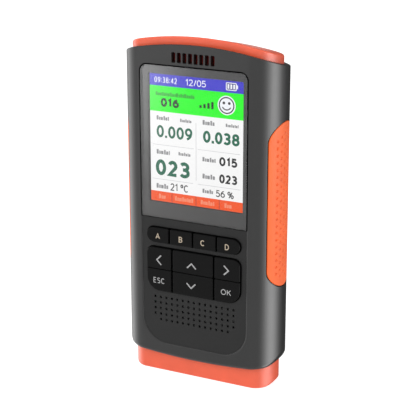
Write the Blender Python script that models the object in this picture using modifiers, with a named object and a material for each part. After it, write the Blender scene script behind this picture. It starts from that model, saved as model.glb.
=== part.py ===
"""Handheld air quality monitor: a dark sleeve made of a deep front shell and a flat rear cover, closed
by orange end caps, with rubber side grips, a colour display behind a glass window, ten push keys, and
the sensors and electronics inside.

Units are metres, +Z is up.  The monitor stands on its bottom cap with the display facing -Y.
Every piece is drawn about the middle of the sleeve, and the empty "monitor" moves the whole
assembly back so that the raised keys and the flat back lie equally far from the origin.
"""
import math

import bmesh
import bpy
from mathutils import Matrix

MM = 0.001

# Driving dimensions of the sleeve.
WIDTH = 84 * MM
DEPTH = 31 * MM
SIDE_REACH = 12.5 * MM                    # how far each half-elliptical side stands out of the flats
FLAT_HALF = WIDTH / 2 - SIDE_REACH
WALL = 2.8 * MM
GAP = 0.3 * MM
ARC_STEPS = 14                            # facets along one half-elliptical side
SPLIT_Y = 12.2 * MM                       # the rear cover meets the front shell here, behind the grips

# End faces of the sleeve: both are arched across the width, and the top also falls to the back.
TOP_FRONT = 171.5 * MM
TOP_ARCH = 3.0                            # drop in metres per metre of half width squared
TOP_FALL = 0.22                           # fall per metre of depth
BOTTOM_MIDDLE = 9.5 * MM
BOTTOM_ARCH = 1.54
BOTTOM_CORNER = 6.9 * MM
CORNER_OVERHANG = 0.35 * MM               # the corner arcs run out this far beyond the sides

# End caps, which plug into the sleeve.
CAP_INSET = WALL + GAP
CAP_WALL = 2.0 * MM
CAP_CORNER = 3.5 * MM
TOP_CAP_PROUD = 4.2 * MM
TOP_CAP_SKIRT_Z = 158 * MM
TOP_CAP_ROOF_Z = 163 * MM
BOTTOM_CAP_SKIRT_Z = 16 * MM

# The shallow pocket in the front that takes the window above and the fascia below.
POCKET_HALF = 28.75 * MM
POCKET_TOP = 160.6 * MM
POCKET_BOTTOM = 17.0 * MM
POCKET_DEPTH = 1.6 * MM
POCKET_TOP_RADIUS = 3.2 * MM
POCKET_BOTTOM_RADIUS = 13.5 * MM
WINDOW_BOTTOM = 83.75 * MM
PLATE_SUNK = 0.3 * MM                     # window and fascia lie this far below the front face
PLATE_THICKNESS = 1.0 * MM

# Display.
DISPLAY_HALF = 25.1 * MM
DISPLAY_BOTTOM = 91.5 * MM
DISPLAY_TOP = 155.6 * MM

# Keys.
KEY_RAISE = 1.2 * MM                      # above the front face of the sleeve
KEY_SPACE = 0.6 * MM                      # between neighbouring keys
KEY_LIP = 0.9 * MM                        # how far a key's flange reaches under the wall
SOFT_ROW = (71.1 * MM, 78.8 * MM)
SOFT_HALF = 25.7 * MM
NAVIGATION_ROWS = ((57.4 * MM, 68.4 * MM), (45.4 * MM, 56.8 * MM))
NAVIGATION_HALF = 25.8 * MM
NAVIGATION_MIDDLE_HALF = 11.3 * MM
NAVIGATION_TOP_RADIUS = 3.6 * MM
NAVIGATION_BOTTOM_RADIUS = 7.0 * MM

# Speaker grille.
GRILLE_COLUMNS = 15
GRILLE_ROWS = 5
GRILLE_HALF = 21.9 * MM
GRILLE_TOP = 41.6 * MM
GRILLE_PITCH = 3.03 * MM
GRILLE_HOLE = 1.3 * MM

# Air slots above the window.
SLOT_COUNT = 8
SLOT_PITCH = 2.97 * MM
SLOT_WIDTH = 1.75 * MM
SLOT_Z = (162.4 * MM, 167.3 * MM)

REAR_SLOTS = 6
REAR_SLOT_PITCH = 4.0 * MM

# Side grips.
GRIP_HALF = 11.4 * MM
GRIP_Z = (53.4 * MM, 136.2 * MM)
GRIP_END = 9.4 * MM                       # length of the half-elliptical ends
GRIP_THICKNESS = 1.2 * MM

# Layers inside, from the front wall to the back, as the Y of their front faces.
FRONT_Y = -DEPTH / 2
PLATE_Y = FRONT_Y + PLATE_SUNK
FLOOR_Y = FRONT_Y + POCKET_DEPTH
INNER_Y = FRONT_Y + WALL
FRAME_Y = INNER_Y + GAP
MAT_Y = -10.7 * MM
BOARD_Y = -9.6 * MM
BOARD_THICKNESS = 1.6 * MM
BEHIND_BOARD_Y = BOARD_Y + BOARD_THICKNESS + GAP

# Screws and bosses.
BOSS_X = 33.0 * MM
BOSS_ROWS = (24.0 * MM, 148.0 * MM)
BOSS_RADIUS = 2.8 * MM
BOARD_BOSS_X = 24.0 * MM
BOARD_BOSS_Z = 22.0 * MM

# Particle sensor and its fan.
SENSOR_HALF = 19.0 * MM
SENSOR_Z = (112.0 * MM, 150.0 * MM)
SENSOR_Y = (-6.0 * MM, 7.0 * MM)
SENSOR_WALL = 1.2 * MM
FAN_X = 8.0 * MM
FAN_Z = 131.0 * MM
FAN_RADIUS = 9.0 * MM
FAN_BLADES = 7


def clear_scene():
    for leftover in list(bpy.data.objects):
        bpy.data.objects.remove(leftover, do_unlink=True)


clear_scene()
PARTS = bpy.data.collections.new("air_quality_monitor")
CUTTERS = bpy.data.collections.new("cutters")
for group in (PARTS, CUTTERS):
    bpy.context.scene.collection.children.link(group)
MONITOR = bpy.data.objects.new("monitor", None)
MONITOR.location = (0, KEY_RAISE / 2, 0)
PARTS.objects.link(MONITOR)


# ---------------------------------------------------------------- shared helpers

def material(name, colour, roughness, metallic=0.0):
    made = bpy.data.materials.new(name)
    made.use_nodes = True
    shader = made.node_tree.nodes["Principled BSDF"]
    shader.inputs["Base Color"].default_value = (*colour, 1)
    shader.inputs["Roughness"].default_value = roughness
    shader.inputs["Metallic"].default_value = metallic
    return made


def arc(centre, radii, start, stop, steps):
    """Points on an ellipse quarter or half, from angle start to angle stop in degrees."""
    points = []
    for step in range(steps + 1):
        angle = math.radians(start + (stop - start) * step / steps)
        points.append((centre[0] + radii[0] * math.cos(angle), centre[1] + radii[1] * math.sin(angle)))
    return points


def plan_outline(inset):
    """Section of the sleeve seen from above: flat front and back, half-elliptical sides."""
    radii = (SIDE_REACH - inset, DEPTH / 2 - inset)
    right = arc((FLAT_HALF, 0), radii, -90, 90, ARC_STEPS)
    left = arc((-FLAT_HALF, 0), radii, 90, 270, ARC_STEPS)
    return right + left


def split_wall(inset, low, high):
    """Section of one face of the sleeve's wall between two Y values, from left to right."""
    radii = (SIDE_REACH - inset, DEPTH / 2 - inset)
    first, last = (math.degrees(math.asin(max(-1, min(1, y / radii[1])))) for y in (low, high))
    steps = max(3, round(ARC_STEPS * (last - first) / 180))
    right = arc((FLAT_HALF, 0), radii, first, last, steps)
    return [(-x, y) for x, y in right], right


def front_shell_outline():
    """Deep shell: the front wall and both sides, back to the split."""
    split = SPLIT_Y - GAP / 2
    outer_left, outer_right = split_wall(0, -DEPTH / 2, split)
    inner_left, inner_right = split_wall(WALL, -DEPTH / 2 + WALL, split)
    return outer_left[::-1] + outer_right + inner_right[::-1] + inner_left


def rear_cover_outline():
    """Flat back wall with the rear rounding of both sides."""
    split = SPLIT_Y + GAP / 2
    outer_left, outer_right = split_wall(0, split, DEPTH / 2)
    inner_left, inner_right = split_wall(WALL, split, DEPTH / 2 - WALL)
    return outer_right + outer_left[::-1] + inner_left + inner_right[::-1]


def rounded_box(x_range, z_range, radii, steps=4):
    """Rounded rectangle; radii are bottom left, bottom right, top right, top left."""
    (left, right), (bottom, top) = x_range, z_range
    corners = (
        ((left, bottom), (1, 1), 180), ((right, bottom), (-1, 1), 270),
        ((right, top), (-1, -1), 0), ((left, top), (1, -1), 90),
    )
    points = []
    for radius, ((x, z), (inward_x, inward_z), start) in zip(radii, corners):
        if radius:
            centre = (x + inward_x * radius, z + inward_z * radius)
            points += arc(centre, (radius, radius), start, start + 90, steps)
        else:
            points.append((x, z))
    return points


def circle(x, z, radius, steps):
    return arc((x, z), (radius, radius), 0, 360, steps)[:-1]


AXES = {
    "X": Matrix(((0, 0, 1), (1, 0, 0), (0, 1, 0))),
    "Y": Matrix(((1, 0, 0), (0, 0, -1), (0, 1, 0))),
    "Z": Matrix.Identity(3),
}


def add_object(name, mesh, surface=None):
    """Put a mesh in the scene: a part when it has a material, otherwise a cutter."""
    made = bpy.data.objects.new(name, mesh)
    made.parent = MONITOR
    if surface:
        mesh.materials.clear()
        mesh.materials.append(surface)
        PARTS.objects.link(made)
    else:
        CUTTERS.objects.link(made)
        made.hide_render = True
        made.display_type = "WIRE"
    return made


def prism(name, outlines, axis, start, stop, surface=None):
    """Extrude outlines along an axis between two places; outlines after the first are holes."""
    curve = bpy.data.curves.new(name, "CURVE")
    curve.dimensions = "2D"
    curve.fill_mode = "BOTH"
    curve.extrude = abs(stop - start) / 2
    for outline in outlines:
        spline = curve.splines.new("POLY")
        spline.points.add(len(outline) - 1)
        for point, (across, up) in zip(spline.points, outline):
            point.co = (across, up, 0, 1)
        spline.use_cyclic_u = True
    guide = bpy.data.objects.new(name + "_outline", curve)
    CUTTERS.objects.link(guide)
    view = bpy.context.evaluated_depsgraph_get()
    mesh = bpy.data.meshes.new_from_object(guide.evaluated_get(view))
    bpy.data.objects.remove(guide)
    welded = bmesh.new()
    welded.from_mesh(mesh)
    bmesh.ops.remove_doubles(welded, verts=welded.verts, dist=0.00001)
    bmesh.ops.recalc_face_normals(welded, faces=welded.faces)
    welded.to_mesh(mesh)
    welded.free()
    made = add_object(name, mesh, surface)
    made.rotation_euler = AXES[axis].to_euler()
    made.location["XYZ".index(axis)] = (start + stop) / 2
    return made


def box(name, x_range, y_range, z_range, surface=None):
    corners = ((x_range[0], z_range[0]), (x_range[1], z_range[0]), (x_range[1], z_range[1]),
               (x_range[0], z_range[1]))
    return prism(name, [corners], "Y", y_range[0], y_range[1], surface)


def rod(name, x, z, radius, start, stop, surface=None, steps=16):
    """Cylinder along Y."""
    return prism(name, [circle(x, z, radius, steps)], "Y", start, stop, surface)


def combine(target, tool, operation):
    change = target.modifiers.new(operation.lower(), "BOOLEAN")
    change.operation = operation
    change.solver = "EXACT"
    change.object = tool
    return target


def soften(target, width, segments=2):
    """Round the sharp edges of a simple piece."""
    bevel = target.modifiers.new("rounded_edges", "BEVEL")
    bevel.width = width
    bevel.segments = segments
    bevel.limit_method = "ANGLE"
    bevel.angle_limit = math.radians(50)
    smooth(target)
    return target


def smooth(target):
    target.data.shade_smooth()
    target.data.set_sharp_from_angle(angle=math.radians(35))
    return target


# ---------------------------------------------------------------- materials

SHELL = material("shell_plastic", (0.050, 0.050, 0.052), 0.42)
FASCIA = material("fascia_plastic", (0.040, 0.040, 0.041), 0.5)
ORANGE = material("orange_plastic", (0.89, 0.145, 0.085), 0.38)
GRIP = material("orange_rubber", (0.95, 0.20, 0.07), 0.62)
GLASS = material("window_glass", (0.02, 0.02, 0.022), 0.06)
DARK_METAL = material("display_frame_metal", (0.05, 0.05, 0.055), 0.35, 0.6)
SCREEN = material("display_screen", (0.75, 0.78, 0.75), 0.2)
DIFFUSER = material("backlight_film", (0.85, 0.85, 0.82), 0.5)
KEY = material("key_plastic", (0.010, 0.010, 0.010), 0.34)
SILICONE = material("keypad_silicone", (0.12, 0.12, 0.12), 0.75)
MESH_CLOTH = material("dust_mesh", (0.02, 0.006, 0.006), 0.9)
BOARD = material("circuit_board", (0.02, 0.13, 0.06), 0.45)
CHIP = material("chip_resin", (0.015, 0.015, 0.016), 0.4)
STEEL = material("screw_steel", (0.56, 0.56, 0.57), 0.28, 1.0)
TIN = material("socket_steel", (0.62, 0.62, 0.63), 0.3, 1.0)
POUCH = material("battery_foil", (0.62, 0.63, 0.65), 0.35, 0.8)
HOUSING = material("sensor_housing_plastic", (0.03, 0.03, 0.035), 0.55)
BRASS = material("laser_brass", (0.72, 0.51, 0.21), 0.3, 1.0)
FAN = material("fan_plastic", (0.02, 0.02, 0.02), 0.45)
CAN = material("sensor_can", (0.80, 0.80, 0.78), 0.35, 0.9)
WHITE = material("humidity_plastic", (0.8, 0.8, 0.78), 0.5)


# ---------------------------------------------------------------- outlines of the ends

def arched_bottom_outline(bottom, arch, corner, half_width, top):
    """Front view of a body with an arched bottom edge and rounded lower corners."""
    reach = half_width - corner
    steps = 6
    lower = []
    for step in range(-steps, steps + 1):
        x = reach * step / steps
        lower.append((x, bottom + arch * x * x))
    rise = bottom + arch * reach * reach + corner
    right = arc((reach, rise), (corner, corner), -90, 0, 5)[1:]
    left = arc((-reach, rise), (corner, corner), 180, 270, 5)[:-1]
    return lower + right + [(half_width, top), (-half_width, top)] + left


def crown_cutter(name, front_height):
    """Everything above an end face that is arched across and falls to the back."""
    reach = WIDTH * 0.6
    steps = 9
    arch = []
    for step in range(-steps, steps + 1):
        x = reach * step / steps
        arch.append((x, -TOP_ARCH * x * x))
    arch += [(reach, 0.03), (-reach, 0.03)]
    cutter = prism(name, [arch], "Y", -2 * DEPTH, 2 * DEPTH)
    cutter.rotation_euler.rotate_axis("X", -math.atan(TOP_FALL))
    cutter.location = (0, FRONT_Y, front_height)
    return cutter


SLEEVE_CROWN = crown_cutter("sleeve_crown", TOP_FRONT)
CAP_CROWN = crown_cutter("cap_crown", TOP_FRONT + TOP_CAP_PROUD)
SLEEVE_FRONT_VIEW = prism(
    "sleeve_front_view",
    [arched_bottom_outline(BOTTOM_MIDDLE, BOTTOM_ARCH, BOTTOM_CORNER, WIDTH / 2 + CORNER_OVERHANG, 0.19)],
    "Y", -DEPTH, DEPTH)


# ---------------------------------------------------------------- key layout

def key_layout():
    """Name, X range, Z range, corner radii and flange Z range of each key."""
    keys = []
    pitch = (2 * SOFT_HALF + KEY_SPACE) / 4
    bottom, top = SOFT_ROW
    end = (top - bottom) / 2 - 0.01 * MM
    for index, name in enumerate(("key_a", "key_b", "key_c", "key_d")):
        left = -SOFT_HALF + index * pitch
        radii = [0.4 * MM] * 4
        if index == 0:
            radii[0] = radii[3] = end
        if index == 3:
            radii[1] = radii[2] = end
        flange = (bottom - KEY_LIP, top + KEY_LIP)
        keys.append((name, (left, left + pitch - KEY_SPACE), SOFT_ROW, radii, flange))
    columns = (
        (-NAVIGATION_HALF, -NAVIGATION_MIDDLE_HALF - KEY_SPACE),
        (-NAVIGATION_MIDDLE_HALF, NAVIGATION_MIDDLE_HALF),
        (NAVIGATION_MIDDLE_HALF + KEY_SPACE, NAVIGATION_HALF),
    )
    names = (("key_left", "key_up", "key_right"), ("key_escape", "key_down", "key_ok"))
    for row, (bottom, top) in enumerate(NAVIGATION_ROWS):
        flange = (bottom, top + KEY_LIP) if row == 0 else (bottom - KEY_LIP, top)
        for column, name in enumerate(names[row]):
            radii = [0.4 * MM] * 4
            if name == "key_left":
                radii[3] = NAVIGATION_TOP_RADIUS
            if name == "key_right":
                radii[2] = NAVIGATION_TOP_RADIUS
            if name == "key_escape":
                radii[0] = NAVIGATION_BOTTOM_RADIUS
            if name == "key_ok":
                radii[1] = NAVIGATION_BOTTOM_RADIUS
            keys.append((name, columns[column], (bottom, top), radii, flange))
    return keys


def soft_key_opening():
    bottom, top = SOFT_ROW[0] - GAP, SOFT_ROW[1] + GAP
    radius = (top - bottom) / 2 - 0.01 * MM
    half = SOFT_HALF + GAP
    return rounded_box((-half, half), (bottom, top), (radius,) * 4, 6)


def navigation_opening():
    half = NAVIGATION_HALF + GAP
    z_range = (NAVIGATION_ROWS[1][0] - GAP, NAVIGATION_ROWS[0][1] + GAP)
    low = NAVIGATION_BOTTOM_RADIUS + GAP
    high = NAVIGATION_TOP_RADIUS + GAP
    return rounded_box((-half, half), z_range, (low, low, high, high), 6)


def grille_holes():
    """Centres of the grille holes; the lowest row leaves out its first and last hole."""
    centres = []
    for row in range(GRILLE_ROWS):
        skipped = 1 if row == GRILLE_ROWS - 1 else 0
        for column in range(skipped, GRILLE_COLUMNS - skipped):
            x = -GRILLE_HALF + 2 * GRILLE_HALF * column / (GRILLE_COLUMNS - 1)
            centres.append((x, GRILLE_TOP - row * GRILLE_PITCH))
    return centres


# ---------------------------------------------------------------- sleeve

def grip_outline(margin):
    """Side view of a grip, as Y and Z, with half-elliptical ends."""
    radii = (GRIP_HALF + margin, GRIP_END + margin)
    lower = arc((0, GRIP_Z[0] + GRIP_END), radii, 180, 360, 14)
    upper = arc((0, GRIP_Z[1] - GRIP_END), radii, 0, 180, 14)
    return lower + upper


GRIP_POCKET_FLOOR = prism(
    "grip_pocket_floor", [plan_outline(GRIP_THICKNESS + GAP)], "Z", 0.03, 0.16)


def screw_places():
    return [(x, z) for z in BOSS_ROWS for x in (-BOSS_X, BOSS_X)]


def trim_ends(shell):
    combine(shell, SLEEVE_FRONT_VIEW, "INTERSECT")
    return combine(shell, SLEEVE_CROWN, "DIFFERENCE")


def make_front_shell():
    shell = trim_ends(prism("front_shell", [front_shell_outline()], "Z", 0.005, 0.18, SHELL))
    for edge in (-1, 1):
        start, stop = sorted((edge * 0.03, edge * 0.06))
        pocket = prism(f"grip_pocket_{edge}", [grip_outline(GAP)], "X", start, stop)
        combine(pocket, GRIP_POCKET_FLOOR, "DIFFERENCE")
        combine(shell, pocket, "DIFFERENCE")
    pocket = rounded_box((-POCKET_HALF, POCKET_HALF), (POCKET_BOTTOM, POCKET_TOP),
                         (POCKET_BOTTOM_RADIUS,) * 2 + (POCKET_TOP_RADIUS,) * 2, 8)
    combine(shell, prism("front_pocket", [pocket], "Y", -0.02, FLOOR_Y), "DIFFERENCE")
    openings = {
        "display_opening": rounded_box((-27.5 * MM, 27.5 * MM), (86 * MM, 158.8 * MM), (1 * MM,) * 4),
        "soft_key_opening": soft_key_opening(),
        "navigation_opening": navigation_opening(),
        "grille_opening": rounded_box((-23.5 * MM, 23.5 * MM), (27.6 * MM, 43.3 * MM), (2 * MM,) * 4),
    }
    for name, outline in openings.items():
        combine(shell, prism(name, [outline], "Y", -0.02, -0.0122), "DIFFERENCE")
    for index in range(SLOT_COUNT):
        middle = (index - (SLOT_COUNT - 1) / 2) * SLOT_PITCH
        x_range = (middle - SLOT_WIDTH / 2, middle + SLOT_WIDTH / 2)
        slot = rounded_box(x_range, SLOT_Z, (SLOT_WIDTH / 2 - 0.01 * MM,) * 4, 3)
        combine(shell, prism(f"air_slot_{index}", [slot], "Y", -0.02, -0.0122), "DIFFERENCE")
    for x in (-BOARD_BOSS_X, BOARD_BOSS_X):
        boss = rod(f"board_boss_{x:.3f}", x, BOARD_BOSS_Z, 2.4 * MM, INNER_Y - 0.5 * MM, BOARD_Y - GAP)
        combine(shell, boss, "UNION")
        pilot = rod(f"board_pilot_{x:.3f}", x, BOARD_BOSS_Z, 1.3 * MM, -12.6 * MM, BOARD_Y + MM)
        combine(shell, pilot, "DIFFERENCE")
    for x, z in screw_places():
        post = rod(f"screw_post_{x:.3f}_{z:.3f}", x, z, BOSS_RADIUS, -12.9 * MM, SPLIT_Y - 0.6 * MM)
        combine(shell, post, "UNION")
        pilot = rod(f"screw_pilot_{x:.3f}_{z:.3f}", x, z, 1.4 * MM, 1.5 * MM, SPLIT_Y)
        combine(shell, pilot, "DIFFERENCE")
    return smooth(shell)


def make_rear_cover():
    cover = trim_ends(prism("rear_cover", [rear_cover_outline()], "Z", 0.005, 0.18, SHELL))
    for x, z in screw_places():
        bore = rod(f"cover_bore_{x:.3f}_{z:.3f}", x, z, 1.5 * MM, 0.01, 0.02)
        combine(cover, bore, "DIFFERENCE")
        seat = rod(f"screw_seat_{x:.3f}_{z:.3f}", x, z, 2.7 * MM, 13.3 * MM, 0.02)
        combine(cover, seat, "DIFFERENCE")
    for index in range(REAR_SLOTS):
        middle = FAN_Z + (index - (REAR_SLOTS - 1) / 2) * REAR_SLOT_PITCH
        z_range = (middle - 0.9 * MM, middle + 0.9 * MM)
        slot = rounded_box((-13 * MM, 13 * MM), z_range, (0.89 * MM,) * 4, 3)
        combine(cover, prism(f"rear_slot_{index}", [slot], "Y", 0.0122, 0.02), "DIFFERENCE")
    return smooth(cover)


def make_top_cap():
    cap = prism("top_cap", [plan_outline(CAP_INSET)], "Z", TOP_CAP_SKIRT_Z, 0.185, ORANGE)
    combine(cap, CAP_CROWN, "DIFFERENCE")
    hollow = prism("top_cap_hollow", [plan_outline(CAP_INSET + CAP_WALL)], "Z", 0.15, TOP_CAP_ROOF_Z)
    combine(cap, hollow, "DIFFERENCE")
    for index, (half, top) in enumerate(((31 * MM, 162.2 * MM), (15.5 * MM, 168.6 * MM))):
        notch = box(f"top_cap_notch_{index}", (-half, half), (-0.014, -9.0 * MM), (0.15, top))
        combine(cap, notch, "DIFFERENCE")
    return smooth(cap)


def make_bottom_cap():
    cap = prism("bottom_cap", [plan_outline(CAP_INSET)], "Z", -0.005, BOTTOM_CAP_SKIRT_Z, ORANGE)
    half_width = WIDTH / 2 - CAP_INSET + CORNER_OVERHANG
    outline = arched_bottom_outline(0, 0, CAP_CORNER, half_width, 0.03)
    combine(cap, prism("bottom_cap_front_view", [outline], "Y", -DEPTH, DEPTH), "INTERSECT")
    hollow = prism("bottom_cap_hollow", [plan_outline(CAP_INSET + CAP_WALL)], "Z", 2.2 * MM, 0.03)
    combine(cap, hollow, "DIFFERENCE")
    socket = rounded_box((-4.9 * MM, 4.9 * MM), (-7.9 * MM, -4.1 * MM), (1.8 * MM,) * 4)
    combine(cap, prism("socket_opening", [socket], "Z", -0.01, 0.01), "DIFFERENCE")
    return smooth(cap)


def make_grip(name, side):
    start, stop = sorted((side * 0.03, side * 0.06))
    grip = prism(name, [grip_outline(0)], "X", start, stop, GRIP)
    outside = prism(name + "_outside", [plan_outline(0)], "Z", 0.03, 0.16)
    inside = prism(name + "_inside", [plan_outline(GRIP_THICKNESS)], "Z", 0.02, 0.17)
    combine(grip, outside, "INTERSECT")
    combine(grip, inside, "DIFFERENCE")
    return smooth(grip)


# ---------------------------------------------------------------- window, display and fascia

def make_window():
    side = POCKET_HALF - GAP
    top = POCKET_TOP_RADIUS - GAP
    outline = rounded_box((-side, side), (WINDOW_BOTTOM + GAP / 2, POCKET_TOP - GAP),
                          (0.4 * MM, 0.4 * MM, top, top), 6)
    return prism("window_lens", [outline], "Y", PLATE_Y, PLATE_Y + PLATE_THICKNESS, GLASS)


def make_fascia():
    """Keypad plate, with openings for the keys and the grille holes."""
    side = POCKET_HALF - GAP
    low = POCKET_BOTTOM_RADIUS - GAP
    outline = rounded_box((-side, side), (POCKET_BOTTOM + GAP, WINDOW_BOTTOM - GAP / 2),
                          (low, low, 0.4 * MM, 0.4 * MM), 8)
    outlines = [outline, soft_key_opening(), navigation_opening()]
    for x, z in grille_holes():
        outlines.append(circle(x, z, GRILLE_HOLE / 2, 8))
    return prism("keypad_fascia", outlines, "Y", PLATE_Y, PLATE_Y + PLATE_THICKNESS, FASCIA)


def make_display():
    opening = 0.3 * MM
    hole = rounded_box((-DISPLAY_HALF - opening, DISPLAY_HALF + opening),
                       (DISPLAY_BOTTOM - opening, DISPLAY_TOP + opening), (0.5 * MM,) * 4, 2)
    rim = rounded_box((-29.8 * MM, 29.8 * MM), (83 * MM, 161.5 * MM), (1.5 * MM,) * 4, 3)
    prism("display_frame", [rim, hole], "Y", FRAME_Y, FRAME_Y + 2.5 * MM, DARK_METAL)
    x_range = (-DISPLAY_HALF, DISPLAY_HALF)
    z_range = (DISPLAY_BOTTOM, DISPLAY_TOP)
    face = FRAME_Y + 0.2 * MM
    box("display_panel", x_range, (face, face + 1.1 * MM), z_range, SCREEN)
    box("display_backlight", x_range, (face + 1.4 * MM, face + 2.3 * MM), z_range, DIFFUSER)


# ---------------------------------------------------------------- keys

def make_keys():
    for name, x_range, z_range, radii, flange in key_layout():
        cap = prism(name, [rounded_box(x_range, z_range, radii)], "Y",
                    FRONT_Y - KEY_RAISE, INNER_Y + 0.7 * MM, KEY)
        lip = box(name + "_lip", x_range, (INNER_Y + GAP, INNER_Y + 1.1 * MM), flange)
        rim = cap.modifiers.new("rounded_edges", "BEVEL")
        rim.width = 0.3 * MM
        rim.segments = 2
        rim.limit_method = "ANGLE"
        rim.angle_limit = math.radians(60)
        combine(cap, lip, "UNION")
        smooth(cap)
    mat = rounded_box((-27 * MM, 27 * MM), (43.5 * MM, 80.5 * MM), (2 * MM,) * 4, 3)
    prism("keypad_mat", [mat], "Y", MAT_Y, MAT_Y + 0.8 * MM, SILICONE)


# ---------------------------------------------------------------- electronics

def make_meshes_and_speaker():
    vent = rounded_box((-14 * MM, 14 * MM), (162.0 * MM, 168.2 * MM), (1 * MM,) * 4, 2)
    prism("vent_mesh", [vent], "Y", FRAME_Y, FRAME_Y + 0.3 * MM, MESH_CLOTH)
    cover = rounded_box((-23 * MM, 23 * MM), (27 * MM, 43 * MM), (1 * MM,) * 4, 2)
    prism("grille_mesh", [cover], "Y", FRAME_Y, FRAME_Y + 0.2 * MM, MESH_CLOTH)
    driver = rounded_box((-20 * MM, 20 * MM), (28.6 * MM, 42.4 * MM), (3 * MM,) * 4, 3)
    soften(prism("speaker", [driver], "Y", -11.9 * MM, -9.9 * MM, HOUSING), 0.3 * MM, 1)


def make_board():
    board = prism("main_board", [rounded_box((-28 * MM, 28 * MM), (11 * MM, 159 * MM), (2 * MM,) * 4, 3)],
                  "Y", BOARD_Y, BOARD_Y + BOARD_THICKNESS, BOARD)
    for x in (-BOARD_BOSS_X, BOARD_BOSS_X):
        hole = rod(f"board_hole_{x:.3f}", x, BOARD_BOSS_Z, 1.4 * MM, -0.012, -0.006)
        combine(board, hole, "DIFFERENCE")
    soften(box("control_chip", (-26 * MM, -14 * MM), (BEHIND_BOARD_Y, BEHIND_BOARD_Y + 1.4 * MM),
               (92 * MM, 104 * MM), CHIP), 0.2 * MM, 1)
    shroud = rounded_box((-4.5 * MM, 4.5 * MM), (-7.7 * MM, -4.5 * MM), (1.5 * MM,) * 4)
    mouth = rounded_box((-4.1 * MM, 4.1 * MM), (-7.3 * MM, -4.9 * MM), (1.1 * MM,) * 4)
    socket = prism("charging_socket", [shroud], "Z", 2.6 * MM, 11 * MM, TIN)
    combine(socket, prism("charging_socket_mouth", [mouth], "Z", 0.0, 9 * MM), "DIFFERENCE")
    smooth(socket)
    pouch = rounded_box((-20 * MM, 20 * MM), (30 * MM, 85 * MM), (2 * MM,) * 4, 3)
    soften(prism("battery", [pouch], "Y", -6 * MM, 5 * MM, POUCH), 1.5 * MM)


def turned(name, profile, x, y, z, surface, steps=24):
    """A round piece about an axis along Y; the profile is radius and distance from its front."""
    mesh = bpy.data.meshes.new(name)
    made = bmesh.new()
    corners = [made.verts.new((radius, 0, -along)) for radius, along in profile]
    for first, second in zip(corners, corners[1:]):
        made.edges.new((first, second))
    made.to_mesh(mesh)
    made.free()
    piece = add_object(name, mesh, surface)
    screw = piece.modifiers.new("turned", "SCREW")
    screw.steps = steps
    screw.render_steps = steps
    screw.use_merge_vertices = True
    screw.merge_threshold = 0.00001
    screw.use_smooth_shade = False
    piece.rotation_euler = (math.radians(90), 0, 0)
    piece.location = (x, y, z)
    return piece


def make_gas_sensors():
    """Electrochemical and metal-oxide cans, drawn from the board towards the back."""
    large = [(0, 0), (9.2, 0), (10, 0.8), (10, 7.0), (9.4, 7.8), (3.0, 7.8), (2.6, 7.2), (0, 7.2)]
    small = [(0, 0), (4.4, 0), (4.4, 0.8), (3.8, 0.8), (3.8, 5.0), (3.3, 5.6), (0, 5.6)]
    for name, profile, x, z in (("formaldehyde_sensor", large, 0, 98.5 * MM),
                                ("vapour_sensor", small, 24.3 * MM, 128 * MM)):
        metres = [(radius * MM, along * MM) for radius, along in profile]
        turned(name, metres, x, BEHIND_BOARD_Y, z, CAN)
    soften(box("humidity_sensor", (-27 * MM, -22 * MM), (BEHIND_BOARD_Y, BEHIND_BOARD_Y + 2 * MM),
               (150 * MM, 154 * MM), WHITE), 0.3 * MM, 1)


def make_particle_sensor():
    x_range = (-SENSOR_HALF, SENSOR_HALF)
    tray = box("sensor_housing", x_range, SENSOR_Y, SENSOR_Z, HOUSING)
    inner_x = (x_range[0] + SENSOR_WALL, x_range[1] - SENSOR_WALL)
    inner_z = (SENSOR_Z[0] + SENSOR_WALL, SENSOR_Z[1] - SENSOR_WALL)
    chamber = box("sensor_chamber", inner_x, (SENSOR_Y[0] + SENSOR_WALL, 0.02), inner_z)
    combine(tray, chamber, "DIFFERENCE")
    inlet = prism("sensor_inlet", [circle(0, 141 * MM, 3 * MM, 12)], "X", -0.03, -0.015)
    combine(tray, inlet, "DIFFERENCE")
    pin = rod("fan_pin", FAN_X, FAN_Z, 1.0 * MM, SENSOR_Y[0] + 0.5 * MM, 5.2 * MM, steps=12)
    combine(tray, pin, "UNION")
    rim = rounded_box(x_range, SENSOR_Z, (1 * MM,) * 4, 2)
    opening = circle(FAN_X, FAN_Z, FAN_RADIUS + 0.5 * MM, 24)
    cover_y = SENSOR_Y[1] + GAP
    prism("sensor_cover", [rim, opening], "Y", cover_y, cover_y + SENSOR_WALL, HOUSING)
    laser = prism("laser_module", [circle(0, 119 * MM, 2.6 * MM, 16)], "X", -15 * MM, -6 * MM, BRASS)
    laser.location.y = 1 * MM
    smooth(laser)


def make_fan():
    """Fan rotor on the sensor's pin, turning about Y."""
    thick = 4.6 * MM
    hub = prism("fan_rotor", [circle(0, 0, 4 * MM, 20), circle(0, 0, 1.3 * MM, 12)], "Y",
                -thick / 2, thick / 2, FAN)
    hub.location = (FAN_X, 2.4 * MM, FAN_Z)
    for index in range(FAN_BLADES):
        blade = box(f"fan_blade_{index}", (3.4 * MM, FAN_RADIUS), (-0.4 * MM, 0.4 * MM),
                    (-2.4 * MM, 2.4 * MM))
        turn = Matrix.Rotation(2 * math.pi * index / FAN_BLADES, 4, "Y")
        pitch = Matrix.Rotation(math.radians(-42), 4, "X")
        blade.matrix_local = Matrix.Translation(hub.location) @ turn @ pitch @ blade.matrix_local
        combine(hub, blade, "UNION")
    return smooth(hub)


def make_screw(name, x, z, head_y, head, shank, length):
    """Pan-head screw along Y: head outside at head_y, shank reaching the other way."""
    profile = [(0, 0), (head * 0.7, 0), (head, head * 0.35), (head, head * 0.6), (shank, head * 0.6),
               (shank, length - shank), (shank * 0.4, length), (0, length)]
    piece = turned(name, profile, x, head_y, z, STEEL, 16)
    piece.rotation_euler = (math.radians(-90), 0, 0)
    return smooth(piece)


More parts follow.
